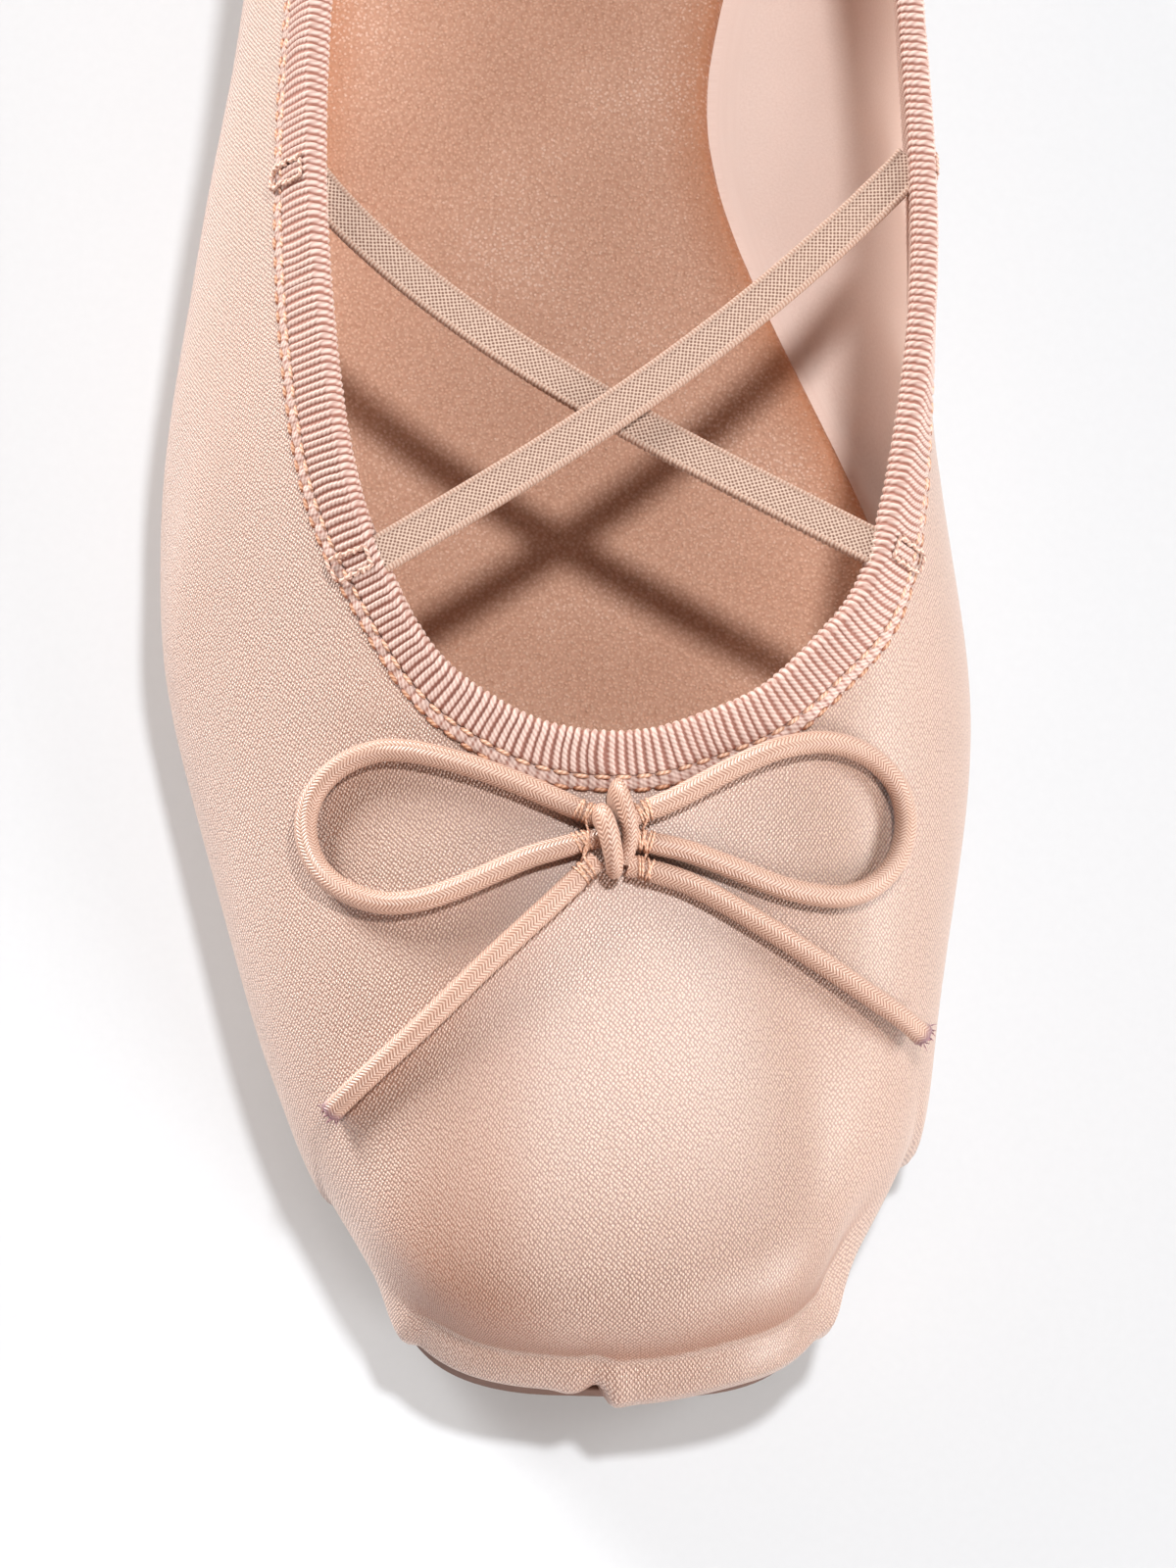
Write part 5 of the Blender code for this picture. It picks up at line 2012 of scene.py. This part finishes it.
    def build_knot(self, cords: Sequence[Object]) -> None:
        """The wrapped knot and the ties sewn over the cords beside it."""
        middle = self.last.lifted(np.array(BOW_AT), 0.0)
        base = Rest([self.satin, self.ribbon]).height(middle[0], middle[1], 0.01)
        girth = np.linspace(0, self.knot_girth, self.knot_sides + 1)
        for name, table, stands_for in (("bow_knot_wrap", KNOT_FRONT, ["bow_knot"]),
                                        ("bow_knot_under", KNOT_BEHIND, [])):
            laid = respaced(through(table, 7), self.knot_step)
            line = self.last.lifted(laid[:, :2] + BOW_AT, base + laid[:, 2])
            rings = tube_rings(line[None], laid[None, :, 3], laid[None, :, 4],
                               np.array([1.0, 0.0, 0.0]), self.knot_sides)[0]
            piece = lofted(name, rings, cloth_grid(run_length(line), girth), BRAID,
                           close_cols=True, caps=True)
            place(piece, Slot.CORD, *stands_for)
        rest = Rest([self.satin, self.ribbon, *cords])
        for name, side in (("bow_ties_lateral", -1), ("bow_ties_medial", 1)):
            near = [start for start in self.starts
                    if start.place[0] * side > middle[0] * side]
            lines = [wrap for start in near for wrap in self.wraps(start)]
            for route in KNOT_LINKS[name]:
                plan = self.last.lifted(through(route, 5) + BOW_AT, 0.0)[:, :2]
                lines.append(rest.lay(plan, self.tie, eased=2))
            # The ties' ends get painted shade where they go into their needle holes
            piece = strands(name, np.array(lines), self.tie, np.array([0.0, 0.15, 1.0]),
                            THREAD, end_shade=0.7)
            place(piece, Slot.CORD)

    def wraps(self, start: CordStart) -> list[Array]:
        """Threads wrapped over a cord near the knot.

        Args:
            start: Where the cord comes out of the knot.

        Returns:
            A line of points for each thread.
        """
        up = np.cross(start.across, start.way)
        up *= math.copysign(1.0, up[2])
        turn = np.radians(np.linspace(-100, 100, 13))
        reach = self.diameter / 2 * (1 - self.pinch * 0.6) + self.tie * 0.7
        round_it = reach * (np.sin(turn)[:, None] * start.across + np.cos(turn)[:, None] * up)
        lines = []
        for tie in self.ties:
            at = tie + self.chance.uniform(-0.15, 0.15)
            lean = self.chance.uniform(-0.45, 0.45)
            out = (at + lean * np.sin(turn))[:, None]
            lines.append(start.place + start.way * out + round_it)
        return lines


# The studio -----------------------------------------------------------------------

class Softbox(NamedTuple):
    """A round soft light: its direction from the shoe, its distance and diameter in
    metres, its watts, and its sRGB hex colour."""

    name: str
    way: Triple
    distance: float
    size: float
    power: float
    colour: str


SOFTBOXES = (
    Softbox("key", (0.13, 0.15, 1.0), 1.8, 0.2, 25.6, "fffdfc"),
    Softbox("fill_lateral", (-1.0, 1.0, 0.4), 2.4, 1.0, 94.0, "fffcf8"),
    Softbox("fill_medial", (1.0, 0.2, 0.4), 2.4, 1.0, 36.0, "fffcf8"),
    Softbox("fill_toe", (0.8, -0.9, 0.45), 2.4, 1.0, 41.0, "fffdfb"),
    Softbox("front", (0.6, -0.8, 1.3), 2.4, 1.2, 3.0, "fffcf9"),
    Softbox("warm_front", (-0.7, -1.0, 0.4), 2.4, 1.4, 10.0, "ffb994"),
)


@dataclass
class Studio:
    """Camera, key and fill lights, a white room and a pale floor."""

    aim: Triple = (-3.0, -150.0, 20.0)
    tilt: float = 70.0          # of the view below level, in degrees
    turn: float = 4.5           # of the view round the shoe, in degrees
    distance: float = 900.0
    lens: float = 186.0
    room_light: float = 0.06
    room_colour: str = "fbfaf9"
    floor_half: float = 4.0     # half the floor's side, in metres

    def build_camera(self) -> None:
        """The camera, above the toe and looking down the shoe."""
        tilt, turn = math.radians(self.tilt), math.radians(self.turn)
        back = Vector((-math.sin(turn), -math.cos(tilt) * math.cos(turn),
                       math.sin(tilt) * math.cos(turn))).normalized()
        right = Vector((0, 1, 0)).cross(back).normalized()
        up = back.cross(right)
        data = bpy.data.cameras.new("camera")
        data.lens = self.lens
        data.sensor_width = 36.0
        data.clip_start, data.clip_end = 0.01, 50.0
        camera = linked("camera", data)
        stand = (Vector(self.aim) + back * self.distance) * MM
        camera.matrix_world = Matrix([*zip(right, up, back, stand), (0, 0, 0, 1)])
        bpy.context.scene.camera = camera

    def build_lights(self) -> None:
        """The soft lights, all turned to the shoe."""
        for box in SOFTBOXES:
            data = bpy.data.lights.new(box.name, "AREA")
            data.shape, data.size = "DISK", box.size
            data.energy, data.color = box.power, srgb(box.colour)[:3]
            light = linked(box.name, data)
            back = Vector(box.way).normalized()
            light.location = Vector(self.aim) * MM + back * box.distance
            light.rotation_euler = back.to_track_quat("Z", "Y").to_euler()

    def build_room(self) -> None:
        """The white room's even light and the pale floor."""
        world = bpy.data.worlds.new("white_room")
        bpy.context.scene.world = world
        world.use_nodes = True
        feed(world.node_tree.nodes["Background"],
             {"Color": srgb(self.room_colour), "Strength": self.room_light})
        half = self.floor_half
        mesh = bpy.data.meshes.new("floor")
        mesh.from_pydata([(-half, -half, 0), (half, -half, 0), (half, half, 0),
                          (-half, half, 0)], [], [(0, 1, 2, 3)])
        mesh.materials.append(BOARD.material())
        linked("floor", mesh)
        bpy.context.scene.view_settings.view_transform = "Standard"


def main() -> None:
    """Builds the shoe's pieces in order, and the studio round them."""
    logging.basicConfig(level=logging.INFO, format="%(name)s: %(message)s")
    studio = Studio()
    studio.build_camera()
    last = Last()
    upper = Upper(last)
    satin = upper.build_satin()
    ribbon = Binding(last).build()
    bow = CordBow(satin, ribbon, last)
    cords = bow.build_cords()
    bow.build_knot(cords)
    upper.build_lining()
    Stitching(last).build()
    ElasticStraps(last).build()
    Sock(last).build()
    Sole(last).build()
    studio.build_lights()
    studio.build_room()


if __name__ == "__main__":
    main()
